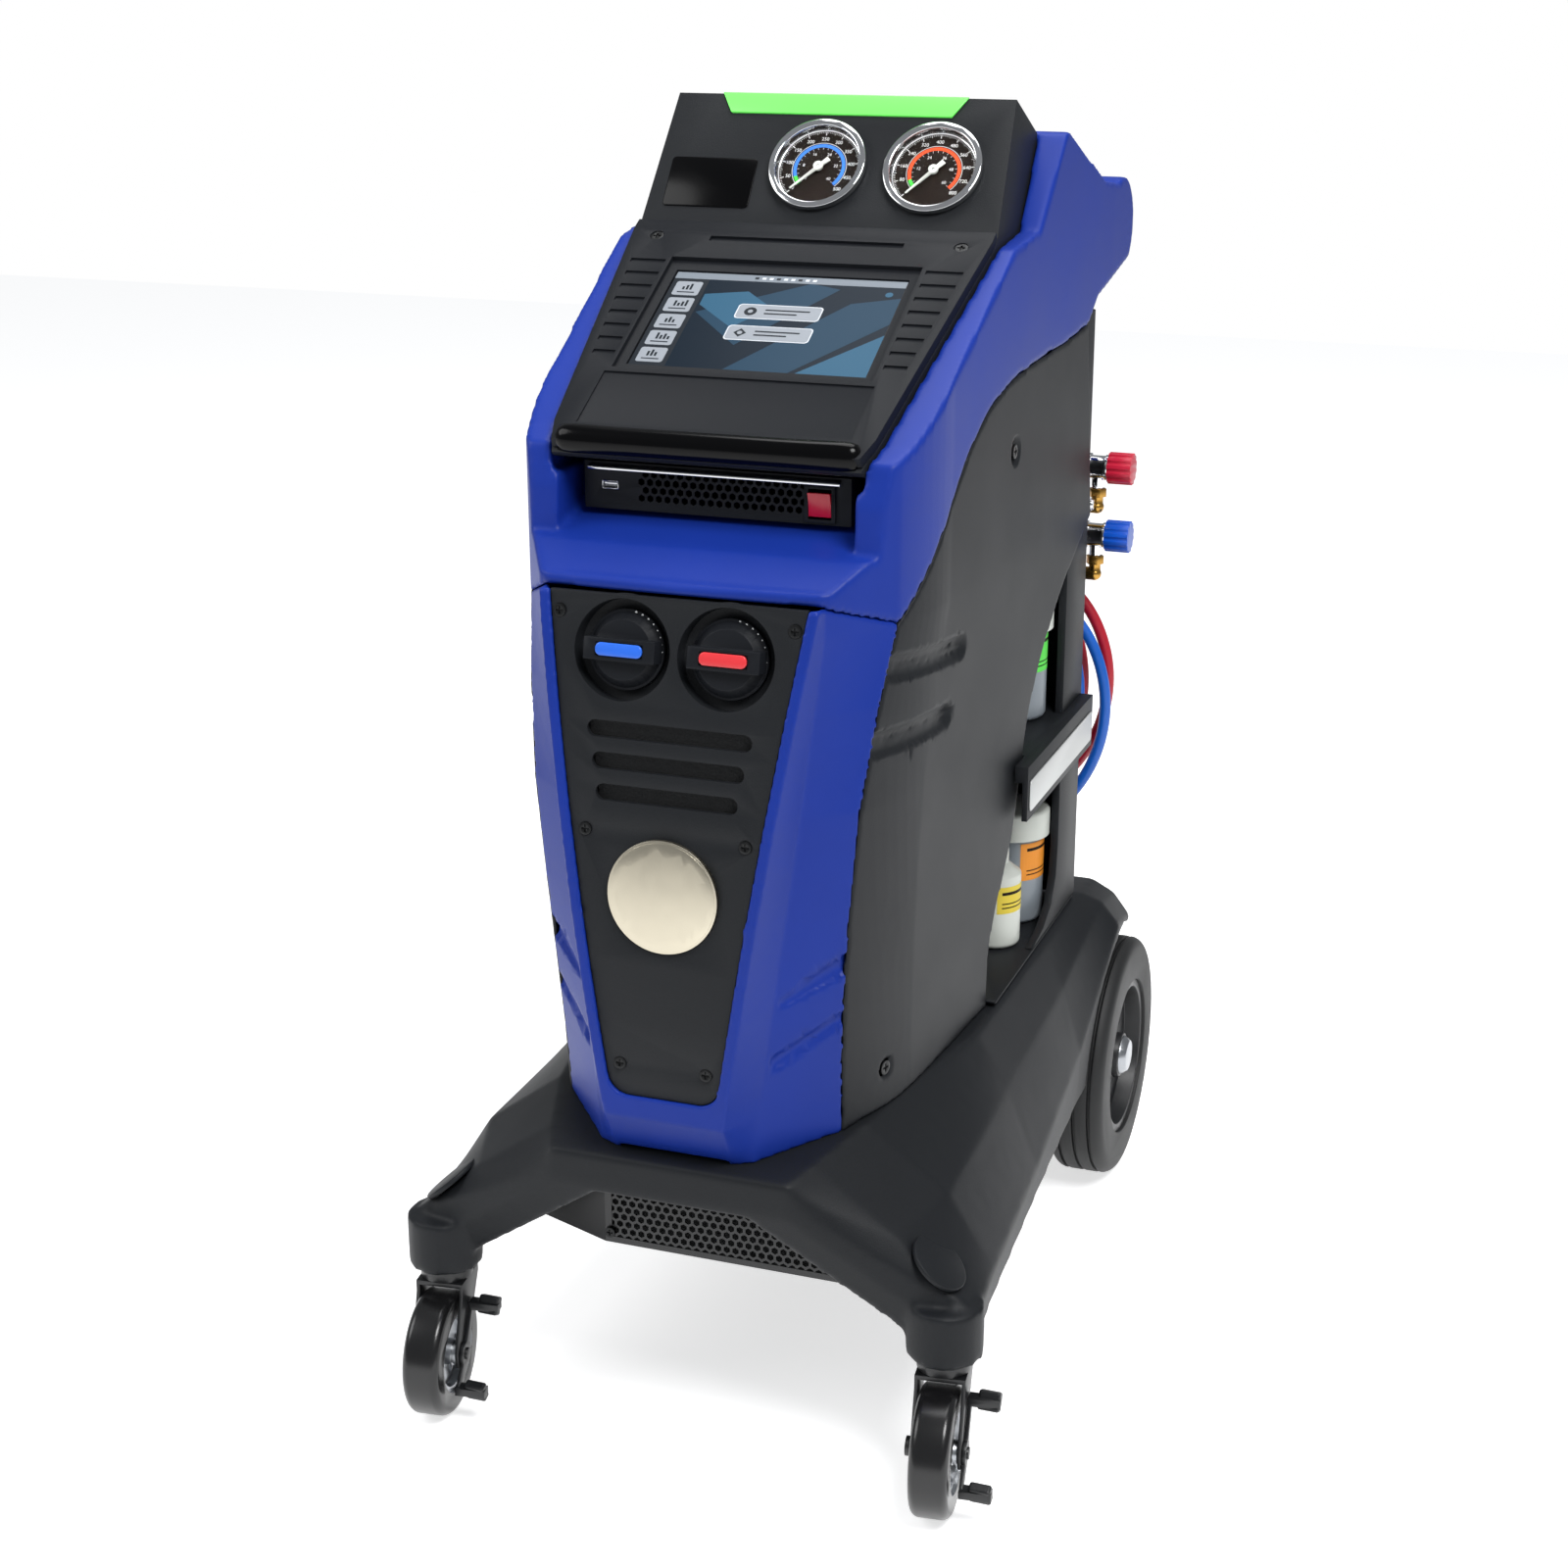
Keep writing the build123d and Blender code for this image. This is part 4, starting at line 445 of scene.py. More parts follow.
# fine mould texture on blue ABS: an even, deep blue with weak satin highlights
blue_moulding = finish("textured blue ABS moulding", "#15318F", 0.42, grain_mm=1.0, bump=0.22, vary=0.05,
                       fixed={"Specular IOR Level": 0.20})
fascia = soft("lower_fascia", blue_moulding, "blue_plastic", 1.6, 4, 0.4)
hollow_depth, hollow_reach = 5.0, 10
hollows = (((92, -10, 409), (131, 30, 436)), ((86, -10, 359), (130, 30, 388)))
for sign in (1, -1):
    for one, two in hollows:
        scallop(fascia, (one[0] * sign, *one[1:]), (two[0] * sign, *two[1:]), hollow_depth, hollow_reach,
                (-0.7 * sign, 0.7, 0))

# Side panels: vacuum formed black ABS skins, each with two long styling dents and a round
# cup for its upper screw. The dents are packed from within, so that the skin stays whole.
dent_ends = ((56, 668, 205, 651), (40, 611, 180, 602))
dent_edge, dent_depth, dent_reach, dent_steps = 9, 4.4, 11, 64
skin_side, dents_low, dents_high = 100, 560, 700
beyond_side = 400
packing_depth = 0.0031
cup_x, cup_y, cup_z, cup_depth, cup_reach = 174, 318, 788, 5.0, 13
for side, sign in (("right", 1), ("left", -1)):
    loose = loose_copy("side_panel_" + side)
    points = [vertex.co for vertex in loose.data.vertices]
    skin = BVHTree.FromPolygons(points, [face.vertices for face in loose.data.polygons])
    inward = Vector((-sign, 0, 0))
    dents, packing = [], []
    for y0, z0, y1, z1 in dent_ends:
        run = []
        for step in range(dent_steps + 1):
            y, z = y0 + (y1 - y0) * step / dent_steps, z0 + (z1 - z0) * step / dent_steps
            hits = [skin.ray_cast(at(beyond_side * sign, y, z + edge), inward)[0]
                    for edge in (-dent_edge, dent_edge)]
            if all(hits):
                run.append(Vector((sum(hit.x for hit in hits) / 2, at(0, y, z).y, at(0, y, z).z)))
        packing += [spot + inward * packing_depth for spot in run]
        dents.append([drawn(spot) for spot in run[::8]])
    panel = soft("side_panel_" + side, black_moulding, "black_plastic", 2.0, 3, 0.4, packing)
    moves = {}
    for run in dents:
        for vertex in panel.data.vertices:
            spot = drawn(vertex.co)
            if spot.x * sign < skin_side or not dents_low < spot.z < dents_high:
                continue
            gaps = []
            for one, two in zip(run, run[1:]):
                along = min(max((spot - one).dot(two - one) / (two - one).length_squared, 0.0), 1.0)
                gaps.append((spot - one - (two - one) * along).length)
            if min(gaps) < dent_reach:
                moves[vertex.index] = dent_depth * (1 - (min(gaps) / dent_reach) ** 4)
    for index, depth in moves.items():
        panel.data.vertices[index].co.x -= sign * depth / 1000
    cup = (cup_x * sign, cup_y, cup_z)
    scallop(panel, cup, (cup[0], cup_y, cup_z + 0.1), cup_depth, cup_reach, inward)

# Bay shelves: moulded black trays in the side bays, held by the back frame's posts, with
# a deep lip along the outer edge. Bare silver strips are stuck along the lips, and a bare
# black plate beside the gauges is stuck on in the same way.
# satin silver film: metallic, with a soft even sheen
silver_plate = finish("silver edging plate", "#B4B6B5", 0.32, grain_mm=0.8, bump=0.12, vary=0.03, metal=0.6)
# gloss black moulding: nearly black, with narrow sharp highlights
gloss_black = finish("gloss black plastic", "#030304", 0.16, grain_mm=2.0, bump=0.02, vary=0.02, spread=0.03,
                     fixed={"Specular IOR Level": 0.15})
shelf_strips_start = 160
crisp("shelves", black_moulding, "black_plastic", 1.2)
plates = crisp("blank_plates", silver_plate, "grey_plastic", 0.4)
repaint(plates, gloss_black, lambda p: abs(p.x) < shelf_strips_start)


# Oil and dye bottles: blow moulded milky polyethylene with white screw lids, and a smaller
# white dye bottle. Each has a coloured paper label with ruled lines wrapped round its front.
def label(name, centre, radius, low, high, start, end, paper, body):
    # the paper and, lifted a little more, three ruled lines that stop short of its ends
    steps, margin = 16, 2
    bands = [(low, high, 0.25, 0)]
    bands += [(low + 5, low + 6.2, 0.32, 1), (low + 9, low + 10.2, 0.32, 1), (high - 8, high - 5, 0.32, 1)]
    work = bmesh.new()
    for i in range(steps):
        one, two = [radians(start + (end - start) * k / steps) for k in (i, i + 1)]
        for bottom, top, lift, finish_number in bands:
            if finish_number and not margin <= i < steps - margin:
                continue
            corners = [at(centre[0] + (radius + lift) * cos(turn), centre[1] + (radius + lift) * sin(turn), z)
                       for turn, z in ((one, bottom), (two, bottom), (two, top), (one, top))]
            face = work.faces.new([work.verts.new(corner) for corner in corners])
            face.material_index = finish_number
    mesh = bpy.data.meshes.new(name)
    work.to_mesh(mesh)
    work.free()
    mesh.materials.append(paper)
    mesh.materials.append(dial_black)
    return place_piece(bpy.data.objects.new(name, mesh), body, "white_plastic")


# unpigmented polyethylene: cloudy, with light coming part of the way through
milky = finish("milky polyethylene", "#A3ACB4", 0.30, grain_mm=1.6, bump=0.06, vary=0.04,
               fixed={"Transmission Weight": 0.35, "IOR": 1.45})
# white moulded lid: a warm white with a fine grain
lid_white = finish("white screw lid", "#D8DCD4", 0.38, grain_mm=1.0, bump=0.12, vary=0.03)
# label papers and printing ink: flat colours with hardly any gloss
green_paper = finish("green label paper", "#5BE050", 0.55, grain_mm=1.2, bump=0.08, vary=0.03)
orange_paper = finish("orange label paper", "#F0962A", 0.55, grain_mm=1.2, bump=0.08, vary=0.03)
yellow_paper = finish("yellow label paper", "#E8D040", 0.55, grain_mm=1.2, bump=0.08, vary=0.03)
dial_black = finish("black dial print", "#1B1410", 0.45, grain_mm=1.0, bump=0.02, vary=0.02,
                    fixed={"Specular IOR Level": 0.1})
bottle_radius, lid_start = 30, 30.6
new_oil, used_oil, dye = (131, 498), (130.5, 512), (134, 440)
for name, centre, shoulder in (("oil_bottle", new_oil, 595.0), ("used_oil_bottle", used_oil, 390.0)):
    bottle = crisp(name, milky, "grey_plastic", 0.5)
    repaint(bottle, lid_white, lambda p, centre=centre, shoulder=shoulder: p.z > shoulder
            or sqrt((p.x - centre[0]) ** 2 + (p.y - centre[1]) ** 2) > lid_start)
crisp("dye_bottle", lid_white, "white_plastic", 0.8)
label("oil_label", new_oil, bottle_radius, 552, 587, -75, 25, green_paper, "new_oil_bottle")
label("used_oil_label", used_oil, bottle_radius, 345, 382, -60, 40, orange_paper, "old_oil_bottle")
label("dye_label", dye, 24, 336, 362, -70, 20, yellow_paper, "tracer_bottle")

# Front panel: a curved black plate with two round dishes for the valve knobs, three slots
# backed with foam, a bare round disc of brushed metal, and black screws at its corners.
# brushed nickel: a warm grey metal with a soft, spread reflection
brushed_disc = finish("brushed nickel disc", "#BDB6A4", 0.34, grain_mm=1.2, bump=0.06, vary=0.10, metal=1.0,
                      spread=0.06)
# black zinc: dark metal with small dull glints
black_screws = finish("black zinc screw", "#1C1D1E", 0.35, grain_mm=0.6, bump=0.1, vary=0.05, metal=0.6)
crisp("front_panel", black_moulding, "black_plastic", 1.0)
nodes["vent_screens"].data.materials[0] = foam
crisp("emblem_disc", brushed_disc, "chrome", 0.6)
crisp("screws", black_screws, "steel", 0.3)


# Valve knobs: satin black moulded knobs, pushed on the valve stems, with a clear coloured
# insert each. White dots that shrink towards one end are printed round the knob's skirt.
def face_frame(place, normal, across=(1, 0, 0)):
    # millimetres on a flat face, across, up and outwards, as points of the row
    out = Vector(normal).normalized()
    right = Vector(across).normalized()
    up = out.cross(right)
    matrix = Matrix((right, up, out)).transposed().to_4x4() @ Matrix.Scale(0.001, 4)
    matrix.translation = at(*place)
    return matrix


def disc(u, v, radius, sides):
    turns = [2 * pi * i / sides for i in range(sides)]
    return [(u + radius * cos(turn), v + radius * sin(turn)) for turn in turns]


def printed(name, frame_matrix, shapes, words, inks, body, slot):
    # flat printed areas: shapes are (points, height, ink) and words (text, u, v, size, height, ink)
    work = bmesh.new()
    for points, height, ink in shapes:
        face = work.faces.new([work.verts.new(frame_matrix @ Vector((u, v, height))) for u, v in points])
        face.material_index = ink
    for text, u, v, size, height, ink in words:
        curve = bpy.data.curves.new("mark", "FONT")
        curve.body = text
        curve.size = size
        curve.align_x = "CENTER"
        curve.align_y = "CENTER"
        holder = bpy.data.objects.new("mark", curve)
        scene.collection.objects.link(holder)
        bpy.context.view_layer.update()
        mesh = bpy.data.meshes.new_from_object(
            holder.evaluated_get(bpy.context.evaluated_depsgraph_get()))
        mesh.transform(frame_matrix @ Matrix.Translation((u, v, height)))
        before = len(work.faces)
        work.from_mesh(mesh)
        work.faces.ensure_lookup_table()
        for face in work.faces[before:]:
            face.material_index = ink
        bpy.data.objects.remove(holder)
        bpy.data.meshes.remove(mesh)
    outward = frame_matrix.to_3x3() @ Vector((0, 0, 1))
    for face in work.faces:
        face.normal_update()
        if face.normal.dot(outward) < 0:
            face.normal_flip()
    mesh = bpy.data.meshes.new(name)
    work.to_mesh(mesh)
    work.free()
    for ink in inks:
        mesh.materials.append(ink)
    return place_piece(bpy.data.objects.new(name, mesh), body, slot)


# satin moulding: a finer grain than the housing, with a slightly clearer sheen
bezel_moulding = finish("satin black bezel", "#191B1F", 0.46, grain_mm=0.8, bump=0.20, vary=0.04,
                        fixed={"Specular IOR Level": 0.12})
# acrylic: clear saturated colours with a clean highlight
red = finish("red acrylic", "#E23A40", 0.25, grain_mm=1.0, bump=0.05, vary=0.03)
blue = finish("blue acrylic", "#2F6FE6", 0.25, grain_mm=1.0, bump=0.05, vary=0.03)
dial_white = finish("white dial print", "#E4E6E6", 0.45, grain_mm=1.0, bump=0.02, vary=0.01,
                    fixed={"Specular IOR Level": 0.1})
crisp("valve_low_knob", bezel_moulding, "black_plastic", 0.6)
crisp("valve_high_knob", bezel_moulding, "black_plastic", 0.6)
crisp("valve_low_insert", blue, "blue_accent", 0.8)
crisp("valve_high_insert", red, "red_accent", 0.8)
panel_lean = 0.2064668
knob_normal = (0, -cos(panel_lean), sin(panel_lean))
knob_x, knob_z, panel_y = 42, 682, -9.6097
skirt_out = -8.7
dots, dots_circle, dots_start, dots_turn = 8, 29.55, 78, 11
for x, name, body in ((-knob_x, "low_valve_marks", "low_valve"), (knob_x, "high_valve_marks", "high_valve")):
    place = (x, panel_y - skirt_out * cos(panel_lean), knob_z + skirt_out * sin(panel_lean))
    shapes = []
    for k in range(dots):
        turn = radians(dots_start - dots_turn * k)
        shapes.append((disc(dots_circle * cos(turn), dots_circle * sin(turn), 0.9 - 0.078 * k, 12), 0.08, 0))
    printed(name, face_frame(place, knob_normal), shapes, [], [dial_white], body, "white_plastic")

# Upper cowl: the largest blue ABS moulding, coloured in the mass, with the printer's
# shelf, the rear deck and the ears of the carrying grip. It is screwed to the frame.
soft("upper_cowl", blue_moulding, "blue_plastic", 2.6, 4, 0.4)

# Display hood and bezel: a black ABS hood round the screen and the gauges, and a satin
# frame clipped into it. A lit acrylic lamp stands on the hood's top edge.
# lit acrylic: an even green that glows a little
lamp = finish("lit green acrylic", "#6FEF62", 0.30, grain_mm=2.0, bump=0.02, vary=0.03,
              fixed={"Emission Color": linear("#6FEF62"), "Emission Strength": 0.35})
crisp("display_hood", black_moulding, "black_plastic", 2.0, 28, 3)
crisp("display_bezel", bezel_moulding, "black_plastic", 1.2, 28, 3)
crisp("status_lamp", lamp, "green_lamp", 1.0, 30, 3)

# Bezel lip: a glossy black moulded bar with rounded ends, a little fatter towards them,
# clipped along the hood's lower edge under the screen.
lip_half, lip_y, lip_z = 126, 60, 826
lip_thick, lip_high, end_swell = 10, 11.5, 0.22
lengths, turns = 48, 20
work = bmesh.new()
rings = []
for i in range(lengths + 1):
    t = -1 + 2 * i / lengths
    size = max(1 - abs(t) ** 14, 0.0) ** (1 / 3)
    swell = 1.0 + end_swell * abs(t) ** 6
    ring = []
    for k in range(turns):
        turn = 2 * pi * k / turns
        ring.append(work.verts.new(at(lip_half * t, lip_y + lip_thick * size * cos(turn),
                                      lip_z + lip_high * size * swell * sin(turn))))
    rings.append(ring)
for one, two in zip(rings, rings[1:]):
    for k in range(turns):
        work.faces.new((one[k], one[(k + 1) % turns], two[(k + 1) % turns], two[k]))
bmesh.ops.remove_doubles(work, verts=work.verts, dist=0.00005)
bmesh.ops.recalc_face_normals(work, faces=work.faces)
lip_mesh = bpy.data.meshes.new("bezel_lip")
work.to_mesh(lip_mesh)
work.free()
lip_mesh.shade_smooth()
lip_mesh.materials.append(gloss_black)
place_piece(bpy.data.objects.new("bezel_lip", lip_mesh), "station", "black_plastic")

# Touch screen: a glossy glass panel behind the bezel over a lit picture. Bare tiles stand
# for its buttons, and slanted areas of dull blue for its background.
bezel_tilt = radians(28.926745)
bezel_normal = (0, -sin(bezel_tilt), cos(bezel_tilt))
bezel_rise, bezel_start = 1.8095, 1444.5
screen_y, screen_out = 195, -5.5


def on_bezel(x, y, out):
    # a point over the bezel's slanted face, at the given depth of the drawing
    return (x, y - out * sin(bezel_tilt), (y + bezel_start) / bezel_rise + out * cos(bezel_tilt))


def rounded_card(u0, u1, v0, v1, radius):
    points = []
    for cu, cv, start in ((u1 - radius, v1 - radius, 0), (u0 + radius, v1 - radius, 90),
                          (u0 + radius, v0 + radius, 180), (u1 - radius, v0 + radius, 270)):
        turns = [radians(start + k * 15) for k in range(7)]
        points += [(cu + radius * cos(turn), cv + radius * sin(turn)) for turn in turns]
    return points


def card(u0, u1, v0, v1):
    return [(u0, v0), (u1, v0), (u1, v1), (u0, v1)]


# lit screen colours: each glows by itself and has almost no shine
inks = []
for name, colour, glow in (
        ("night blue", "#101A24", 0.5), ("slate", "#1D3344", 0.6), ("teal", "#2A4C62", 0.6),
        ("grey tile", "#888D94", 0.22), ("dark mark", "#22262B", 0.3), ("pale line", "#B9BEC4", 0.3),
        ("silver edge", "#6E757D", 0.4)):
    inks.append(finish("screen " + name, colour, 0.22, grain_mm=2.0, bump=0.0, vary=0.0, spread=0.0,
                       fixed={"Emission Color": linear(colour), "Emission Strength": glow,
                              "Specular IOR Level": 0.05}))
night, slate, teal, tile, mark, pale, edge = range(len(inks))
w, h = 99.0, 62.0
top_line, side_line = 53.5, -68
# background, top bar and side bar
shapes = [(card(-w, w, -h, h), 0.05, night),
          ([(-20, -h), (34, -h), (w, 6), (w, 40), (60, 30)], 0.10, slate),
          ([(-66, 10), (-20, -30), (46, 48), (20, 54)], 0.10, slate),
          ([(40, -h), (w, -h), (w, -8)], 0.13, teal),
          ([(-66, 34), (-66, 20), (-30, -8), (-4, 20), (-30, 40)], 0.13, teal),
          (card(-w, w, top_line, h), 0.16, edge),
          (card(-w, side_line, -h, top_line), 0.16, mark)]
# five small tiles with little bars, down the left side
for row in range(5):
    top = 49.5 - row * 22.0
    middle = top - 8.0
    shapes.append((rounded_card(-95, -72, top - 18.5, top, 2.5), 0.20, tile))
    for k in range(3 + row % 2):
        bar, bar_top = -88 + k * 3.2, middle + 1 + (k * 7 + row * 3) % 5
        shapes.append((card(bar, bar + 2, middle - 3, bar_top), 0.25, mark))
    shapes.append((card(-91, -76, middle - 7, middle - 5.6), 0.25, mark))
# two wide tiles in the middle, each with a round or square sign and two lines
for middle, sides in ((14, 12), (-14, 4)):
    shapes.append((rounded_card(-32, 40, middle - 9.5, middle + 9.5, 3.5), 0.20, pale))
    shapes.append((rounded_card(-31, 39, middle - 8.6, middle + 8.6, 3.0), 0.24, tile))
    shapes.append((disc(-20, middle, 5.4, sides), 0.28, mark))
    shapes.append((disc(-20, middle, 2.2, 12), 0.31, tile))
    for k in range(2):
        line_low = middle + 1.6 - 4.6 * k
        shapes.append((rounded_card(-8, 30 - 10 * k, line_low, line_low + 1.8, 0.8), 0.28, mark))
# small signs along the top bar, and one round sign at the right
for k in range(9):
    sign_left = -30 + k * 6.2
    shapes.append((card(sign_left, sign_left + 3.4, 56.4, 59.2), 0.20, pale if k % 3 else mark))
shapes.append((disc(88, 44, 3.2, 20), 0.20, teal))
nodes["display_screen"].data.materials[0] = gloss_black
printed("screen_picture", face_frame(on_bezel(0, screen_y, screen_out), bezel_normal), shapes, [], inks,
        "station", "clear_cover")

# Pressure gauges: turned and chromed cases with printed black dials and thin pointers
# under flat glass. The scale's numbers, ticks and coloured ring are printed on the dial.
gauge_lean = radians(35.9605)
gauge_normal = (0, -cos(gauge_lean), sin(gauge_lean))
gauges_y, gauges_z = 309, 964
dial_up, dial_out = 58, -2


def on_gauge(x, up, out):
    # a point over the gauges' slanted face, which passes through the drawing's (0, 309, 964)
    return (x, gauges_y + up * sin(gauge_lean) - out * cos(gauge_lean),
            gauges_z + up * cos(gauge_lean) + out * sin(gauge_lean))


def arc(r0, r1, start, end, steps):
    # a printed ring or part of one, in clockwise quads
    quads = []
    for i in range(steps):
        one, two = [radians(start + (end - start) * k / steps) for k in (i, i + 1)]
        quads.append([(r0 * cos(two), r0 * sin(two)), (r1 * cos(two), r1 * sin(two)),
                      (r1 * cos(one), r1 * sin(one)), (r0 * cos(one), r0 * sin(one))])
    return quads


def tick_mark(turn, inner, outer, half):
    side = (-sin(turn) * half, cos(turn) * half)
    return [(r * cos(turn) + s * side[0], r * sin(turn) + s * side[1])
            for r, s in ((inner, -1), (outer, -1), (outer, 1), (inner, 1))]


# chrome plate: bright, with a mirror's reflections
bright_chrome = finish("polished chrome plate", "#D9DADC", 0.10, grain_mm=3.0, bump=0.02, vary=0.02,
                       metal=1.0, spread=0.02)
# printing inks: flat colours with hardly any gloss
dial_blue = finish("blue dial print", "#3B78D8", 0.45, grain_mm=1.0, bump=0.02, vary=0.01,
                   fixed={"Specular IOR Level": 0.1})
dial_orange = finish("orange dial print", "#E8502A", 0.45, grain_mm=1.0, bump=0.02, vary=0.01,
                     fixed={"Specular IOR Level": 0.1})
dial_green = finish("green dial print", "#49C84A", 0.45, grain_mm=1.0, bump=0.02, vary=0.01,
                    fixed={"Specular IOR Level": 0.1})
# thin gauge glass: its refraction is kept near air, so that the dial shows without a grey veil
lens_glass = finish("clear gauge glass", "#FFFFFF", 0.04, grain_mm=5.0, bump=0.0, vary=0.0, spread=0.0,
                    fixed={"Transmission Weight": 1.0, "IOR": 1.06})
crisp("gauge_cases", bright_chrome, "steel", 1.2)
crisp("gauge_low_needle", lid_white, "white_plastic", 0.0)
crisp("gauge_high_needle", lid_white, "white_plastic", 0.0)
nodes["gauge_lenses"].data.materials[0] = lens_glass
scale_start, scale_end, scale_ticks = 225, -45, 100
dial_radius = 35.7
plain, white, coloured, green = range(4)
for x, ring_ink, outer_step, inner_step, name in (
        (-9.0, dial_blue, 50, 4, "low_dial_print"), (91.0, dial_orange, 80, 6, "high_dial_print")):
    shapes = [(disc(0, 0, dial_radius, 64), 0.05, plain)]
    shapes += [(quad, 0.12, coloured) for quad in arc(19.6, 22.6, scale_start, scale_end, 60)]
    shapes += [(quad, 0.14, green) for quad in arc(19.6, 22.6, scale_start, 203, 6)]
    shapes += [(quad, 0.12, white) for quad in arc(23.4, 23.8, scale_start, scale_end, 60)]
    for tick in range(scale_ticks + 1):
        turn = radians(scale_start - (scale_start - scale_end) * tick / scale_ticks)
        if tick % 10 == 0:
            shapes.append((tick_mark(turn, 31.0, 34.4, 0.34), 0.12, white))
        elif tick % 5 == 0:
            shapes.append((tick_mark(turn, 32.0, 34.4, 0.17), 0.12, white))
        else:
            shapes.append((tick_mark(turn, 33.0, 34.4, 0.17), 0.12, white))
        if tick % 5 == 0:
            shapes.append((tick_mark(turn, 17.6, 19.2, 0.15), 0.12, white))
    words = []
    for step in range(11):
        turn = radians(scale_start - 27 * step)
        words.append((str(step * outer_step), 27.4 * cos(turn), 27.4 * sin(turn), 4.4, 0.12, white))
        if step % 2 == 0:
            words.append((str(step * inner_step), 14.2 * cos(turn), 14.2 * sin(turn), 3.8, 0.12, white))
    printed(name, face_frame(on_gauge(x, dial_up, dial_out), gauge_normal), shapes, words,
            [dial_black, dial_white, ring_ink, dial_green], "station", "clear_cover")

# Printer, switch and socket: a satin black printer housing with a chromed tear bar on the
# cowl's shelf, a red mains rocker in its black frame, and a data socket of pressed steel.
# rocker: a clear red moulding with a clean highlight
switch_red = finish("red rocker", "#D0102F", 0.22, grain_mm=1.0, bump=0.03, vary=0.02)
crisp("printer_housing", bezel_moulding, "black_plastic", 0.6)
crisp("printer_tear_bar", bright_chrome, "chrome", 0.4)
crisp("power_switch_frame", bezel_moulding, "black_plastic", 0.6)
crisp("power_switch_rocker", switch_red, "red_accent", 0.6)
crisp("usb_socket", bright_chrome, "chrome", 0.4)

# Service couplers: chromed quick couplers parked on a coated steel plate at the right of
# the back, with turned brass elbows and anodised knobs in the hoses' colours. The hoses'
# other ends screw into zinc plated bulkhead fittings in the back panel.
# turned brass: a yellow metal with soft reflections
brass = finish("turned brass", "#B98E46", 0.28, grain_mm=0.8, bump=0.06, vary=0.05, metal=1.0)
# anodised knobs: strong even colours with a clean highlight
knob_red = finish("red anodised knob", "#C81E3C", 0.30, grain_mm=1.0, bump=0.05, vary=0.03)
knob_blue = finish("blue anodised knob", "#0C55C8", 0.30, grain_mm=1.0, bump=0.05, vary=0.03)
crisp("coupler_dock", black_metal, "black_metal", 0.5)
crisp("service_ports", bright_chrome, "chrome", 0.4)
crisp("service_couplers", bright_chrome, "chrome", 0.4)
crisp("coupler_elbows", brass, "brass", 0.4)
crisp("coupler_low_knob", knob_blue, "blue_accent", 0.8)
crisp("coupler_high_knob", knob_red, "red_accent", 0.8)
crisp("hose_bulkheads", steel, "steel", 0.4)

# Hoses: charging hose of nitrile rubber with a coloured cover, 11 mm over the outside.
# Each leaves its coupler's elbow, hangs in two loose turns over the hook on the back
# and goes into a bulkhead fitting in the cabinet.
# smooth rubber cover: a strong colour with a soft highlight along the top
blue_cover = finish("blue nitrile hose cover", "#1560C4", 0.38, grain_mm=0.9, bump=0.12, vary=0.05)
red_cover = finish("red nitrile hose cover", "#B3152B", 0.38, grain_mm=0.9, bump=0.12, vary=0.05)
hose_d = 0.011
low_route = [
    (157, 622, 615), (124, 622, 615), (88, 624, 628), (44, 627, 664), (-12, 628, 652), (-58, 629, 612),
    (-90, 629, 556), (-102, 630, 492), (-90, 630, 430), (-52, 631, 378), (6, 632, 350), (70, 632, 352),
    (126, 633, 384), (158, 634, 438), (164, 635, 500), (146, 637, 560), (102, 638, 616), (46, 640, 664),
    (-16, 641, 654), (-66, 641, 612), (-102, 641, 552), (-114, 641, 484), (-100, 641, 416), (-58, 641, 358),
    (6, 641, 326), (76, 641, 328), (140, 641, 362), (178, 641, 416), (190, 641, 480), (174, 641, 542),
    (136, 641, 584), (94, 641, 600), (62, 641, 600),
]
high_route = [
    (157, 622, 680), (124, 622, 680), (88, 634, 688), (44, 650, 678), (-14, 653, 652), (-58, 654, 610),
    (-88, 654, 556), (-98, 655, 494), (-86, 655, 434), (-48, 656, 384), (8, 657, 358), (70, 657, 360),
    (124, 658, 392), (155, 659, 444), (162, 660, 506), (145, 662, 564), (102, 664, 618), (46, 665, 664),
    (-14, 666, 654), (-62, 666, 614), (-96, 666, 558), (-108, 666, 494), (-96, 666, 430), (-56, 666, 378),
    (4, 666, 348), (72, 666, 350), (134, 666, 382), (174, 666, 436), (187, 666, 500), (170, 666, 560),
    (132, 666, 600), (94, 666, 620), (62, 666, 620),
]
for node, route, cover, slot, length in (
        ("low_side_hose", low_route, blue_cover, "blue_hose", 1.949),
        ("high_side_hose", high_route, red_cover, "red_hose", 1.892)):
    curve = bpy.data.curves.new(node + "_run", "CURVE")
    curve.dimensions = "3D"
    curve.bevel_depth = hose_d / 2
    curve.bevel_resolution = 6
    curve.resolution_u = 10
    curve.use_fill_caps = True
    run = curve.splines.new("NURBS")
    run.points.add(len(route) - 1)
    for point, spot in zip(run.points, route):
        point.co = (*at(*spot), 1.0)
    run.order_u = 3
    run.use_endpoint_u = True
    hose = bpy.data.objects.new(node + "_run", curve)
    curve.materials.append(cover)
    place_piece(hose, "station", slot, node)

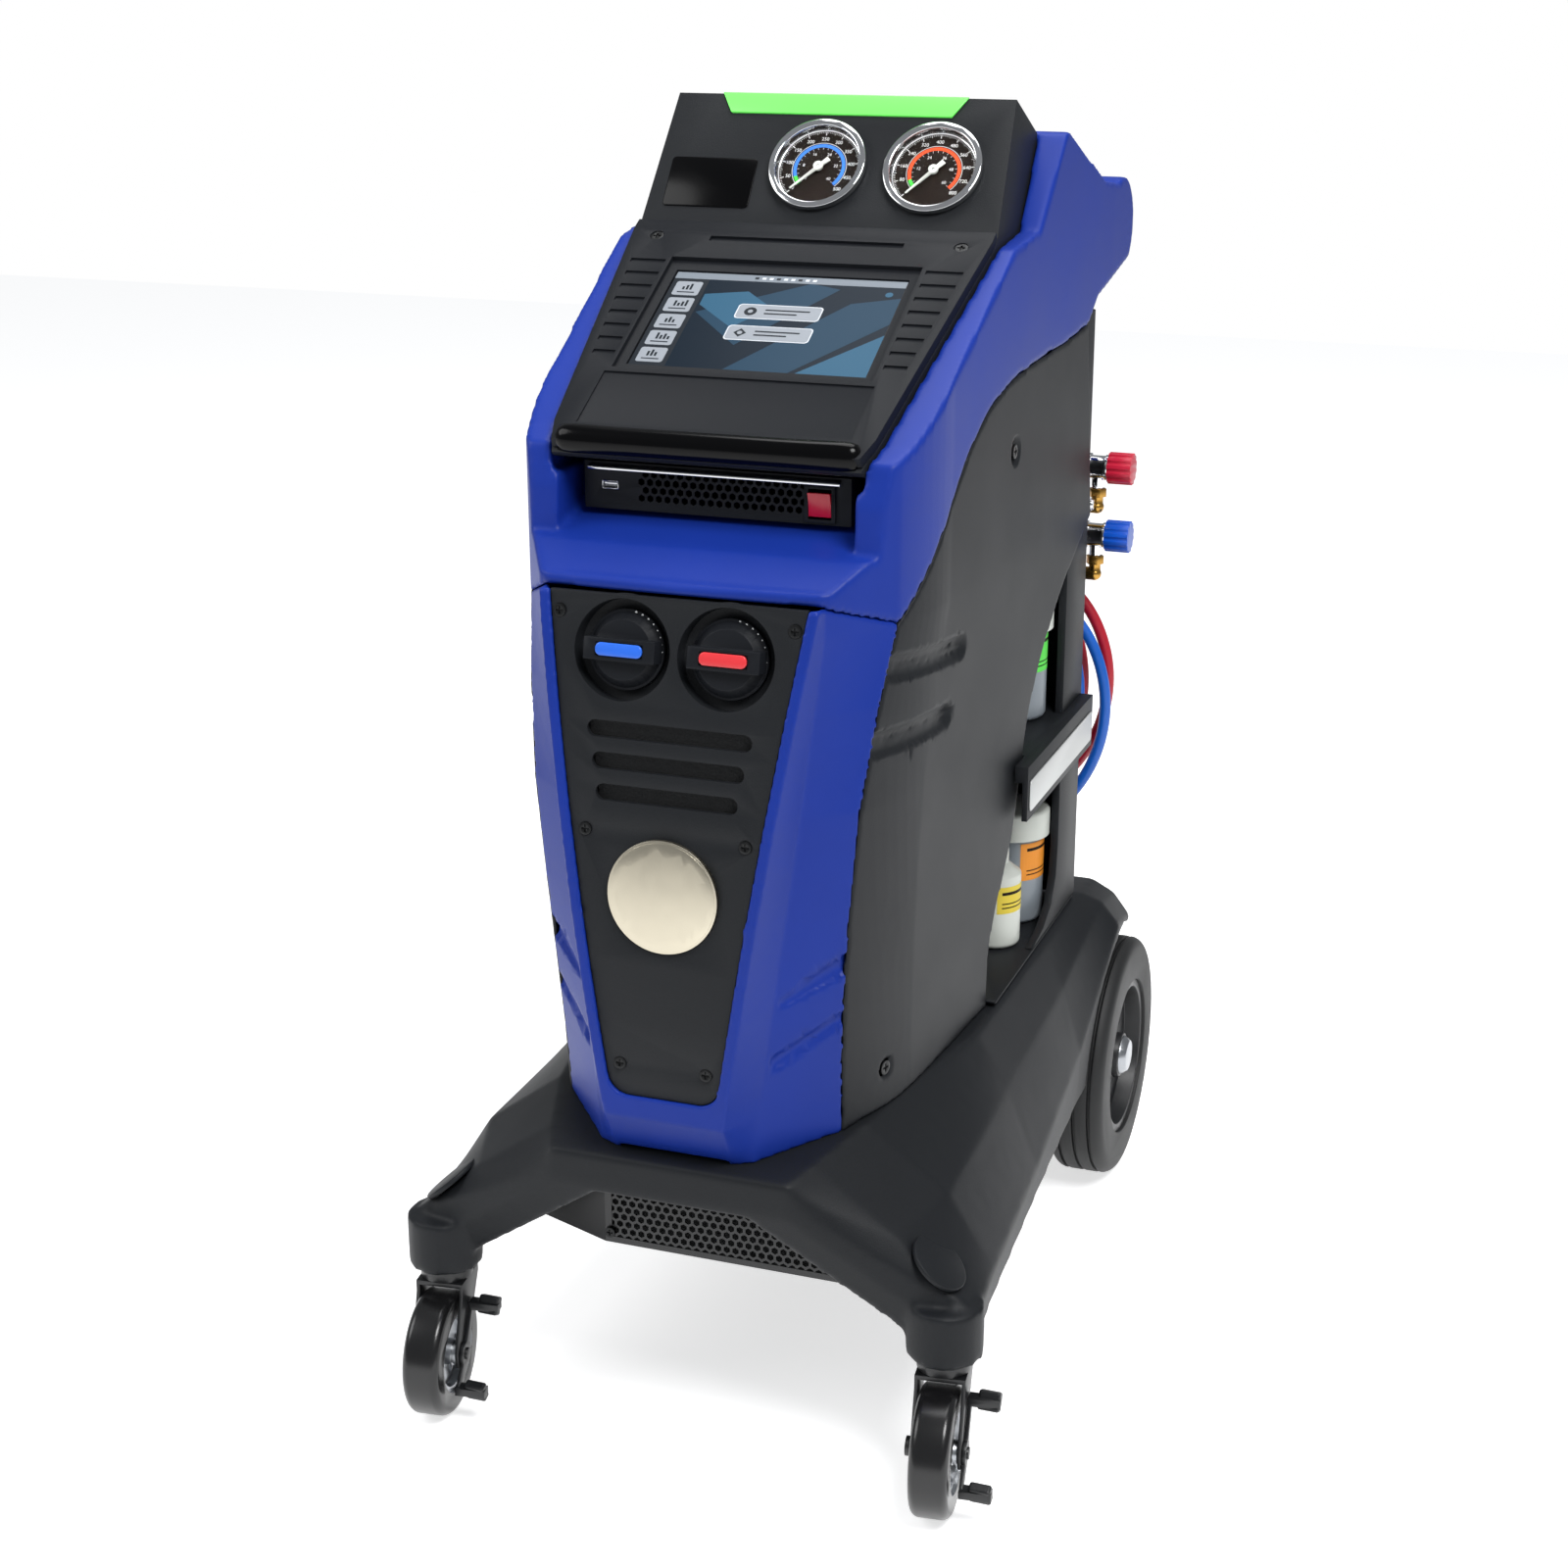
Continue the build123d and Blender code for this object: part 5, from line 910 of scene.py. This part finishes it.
# Floor: a sweep of pale matt paper, 12 m square. It shines a little to the viewer alone, so
# that it comes out as white as the photograph's ground and throws no light on the machine.
floor_half = 6
floor_mesh = bpy.data.meshes.new("studio_floor")
floor_corners = [(-floor_half, -floor_half, 0), (floor_half, -floor_half, 0),
                 (floor_half, floor_half, 0), (-floor_half, floor_half, 0)]
floor_mesh.from_pydata(floor_corners, [], [(0, 1, 2, 3)])
floor = bpy.data.objects.new("studio_floor", floor_mesh)
scene.collection.objects.link(floor)
paper = bpy.data.materials.new("pale paper sweep")
paper.use_nodes = True
tree = paper.node_tree
tree.nodes.clear()
matt = add(tree, "ShaderNodeBsdfPrincipled", {"Base Color": linear("#F4F4F4"), "Roughness": 0.95,
                                              "Specular IOR Level": 0.0})
bright = add(tree, "ShaderNodeEmission", {"Color": (1, 1, 1, 1), "Strength": 0.66})
rays = add(tree, "ShaderNodeLightPath").outputs
seen = add(tree, "ShaderNodeMath", {0: rays["Is Camera Ray"], 1: rays["Is Glossy Ray"]}, operation="MAXIMUM")
lit = add(tree, "ShaderNodeAddShader", {0: matt, 1: bright})
either = add(tree, "ShaderNodeMixShader", {0: seen, 1: matt, 2: lit})
add(tree, "ShaderNodeOutputMaterial", {"Surface": either})
floor_mesh.materials.append(paper)

# Studio: a dim cool room that looks white where the viewer sees it, straight or through
# glass, and three round soft lights, the strongest from the viewer's side.
world = bpy.data.worlds.new("studio")
scene.world = world
world.use_nodes = True
tree = world.node_tree
tree.nodes.clear()
rays = add(tree, "ShaderNodeLightPath").outputs
seen = add(tree, "ShaderNodeMath", {0: rays["Is Camera Ray"], 1: rays["Is Transmission Ray"]},
           operation="MAXIMUM")
room = add(tree, "ShaderNodeBackground", {"Color": linear("#E6E9ED"), "Strength": 0.36})
white_ground = add(tree, "ShaderNodeBackground", {"Color": (1, 1, 1, 1), "Strength": 1.0})
both = add(tree, "ShaderNodeMixShader", {0: seen, 1: room, 2: white_ground})
add(tree, "ShaderNodeOutputWorld", {"Surface": both})
for name, spot, aim, size, power in (
        ("key", (1.5, -1.4, 3.0), (0, 0, 0.6), 1.4, 84),
        ("fill", (-2.4, -1.4, 2.4), (0, 0, 0.5), 2.0, 40),
        ("top", (0.0, 0.6, 3.2), (0, 0, 0.6), 2.0, 40)):
    data = bpy.data.lights.new(name, "AREA")
    data.shape = "DISK"
    data.size = size
    data.energy = power
    soft_light = bpy.data.objects.new(name, data)
    scene.collection.objects.link(soft_light)
    soft_light.location = spot
    soft_light.rotation_euler = (Vector(spot) - Vector(aim)).to_track_quat("Z", "Y").to_euler()
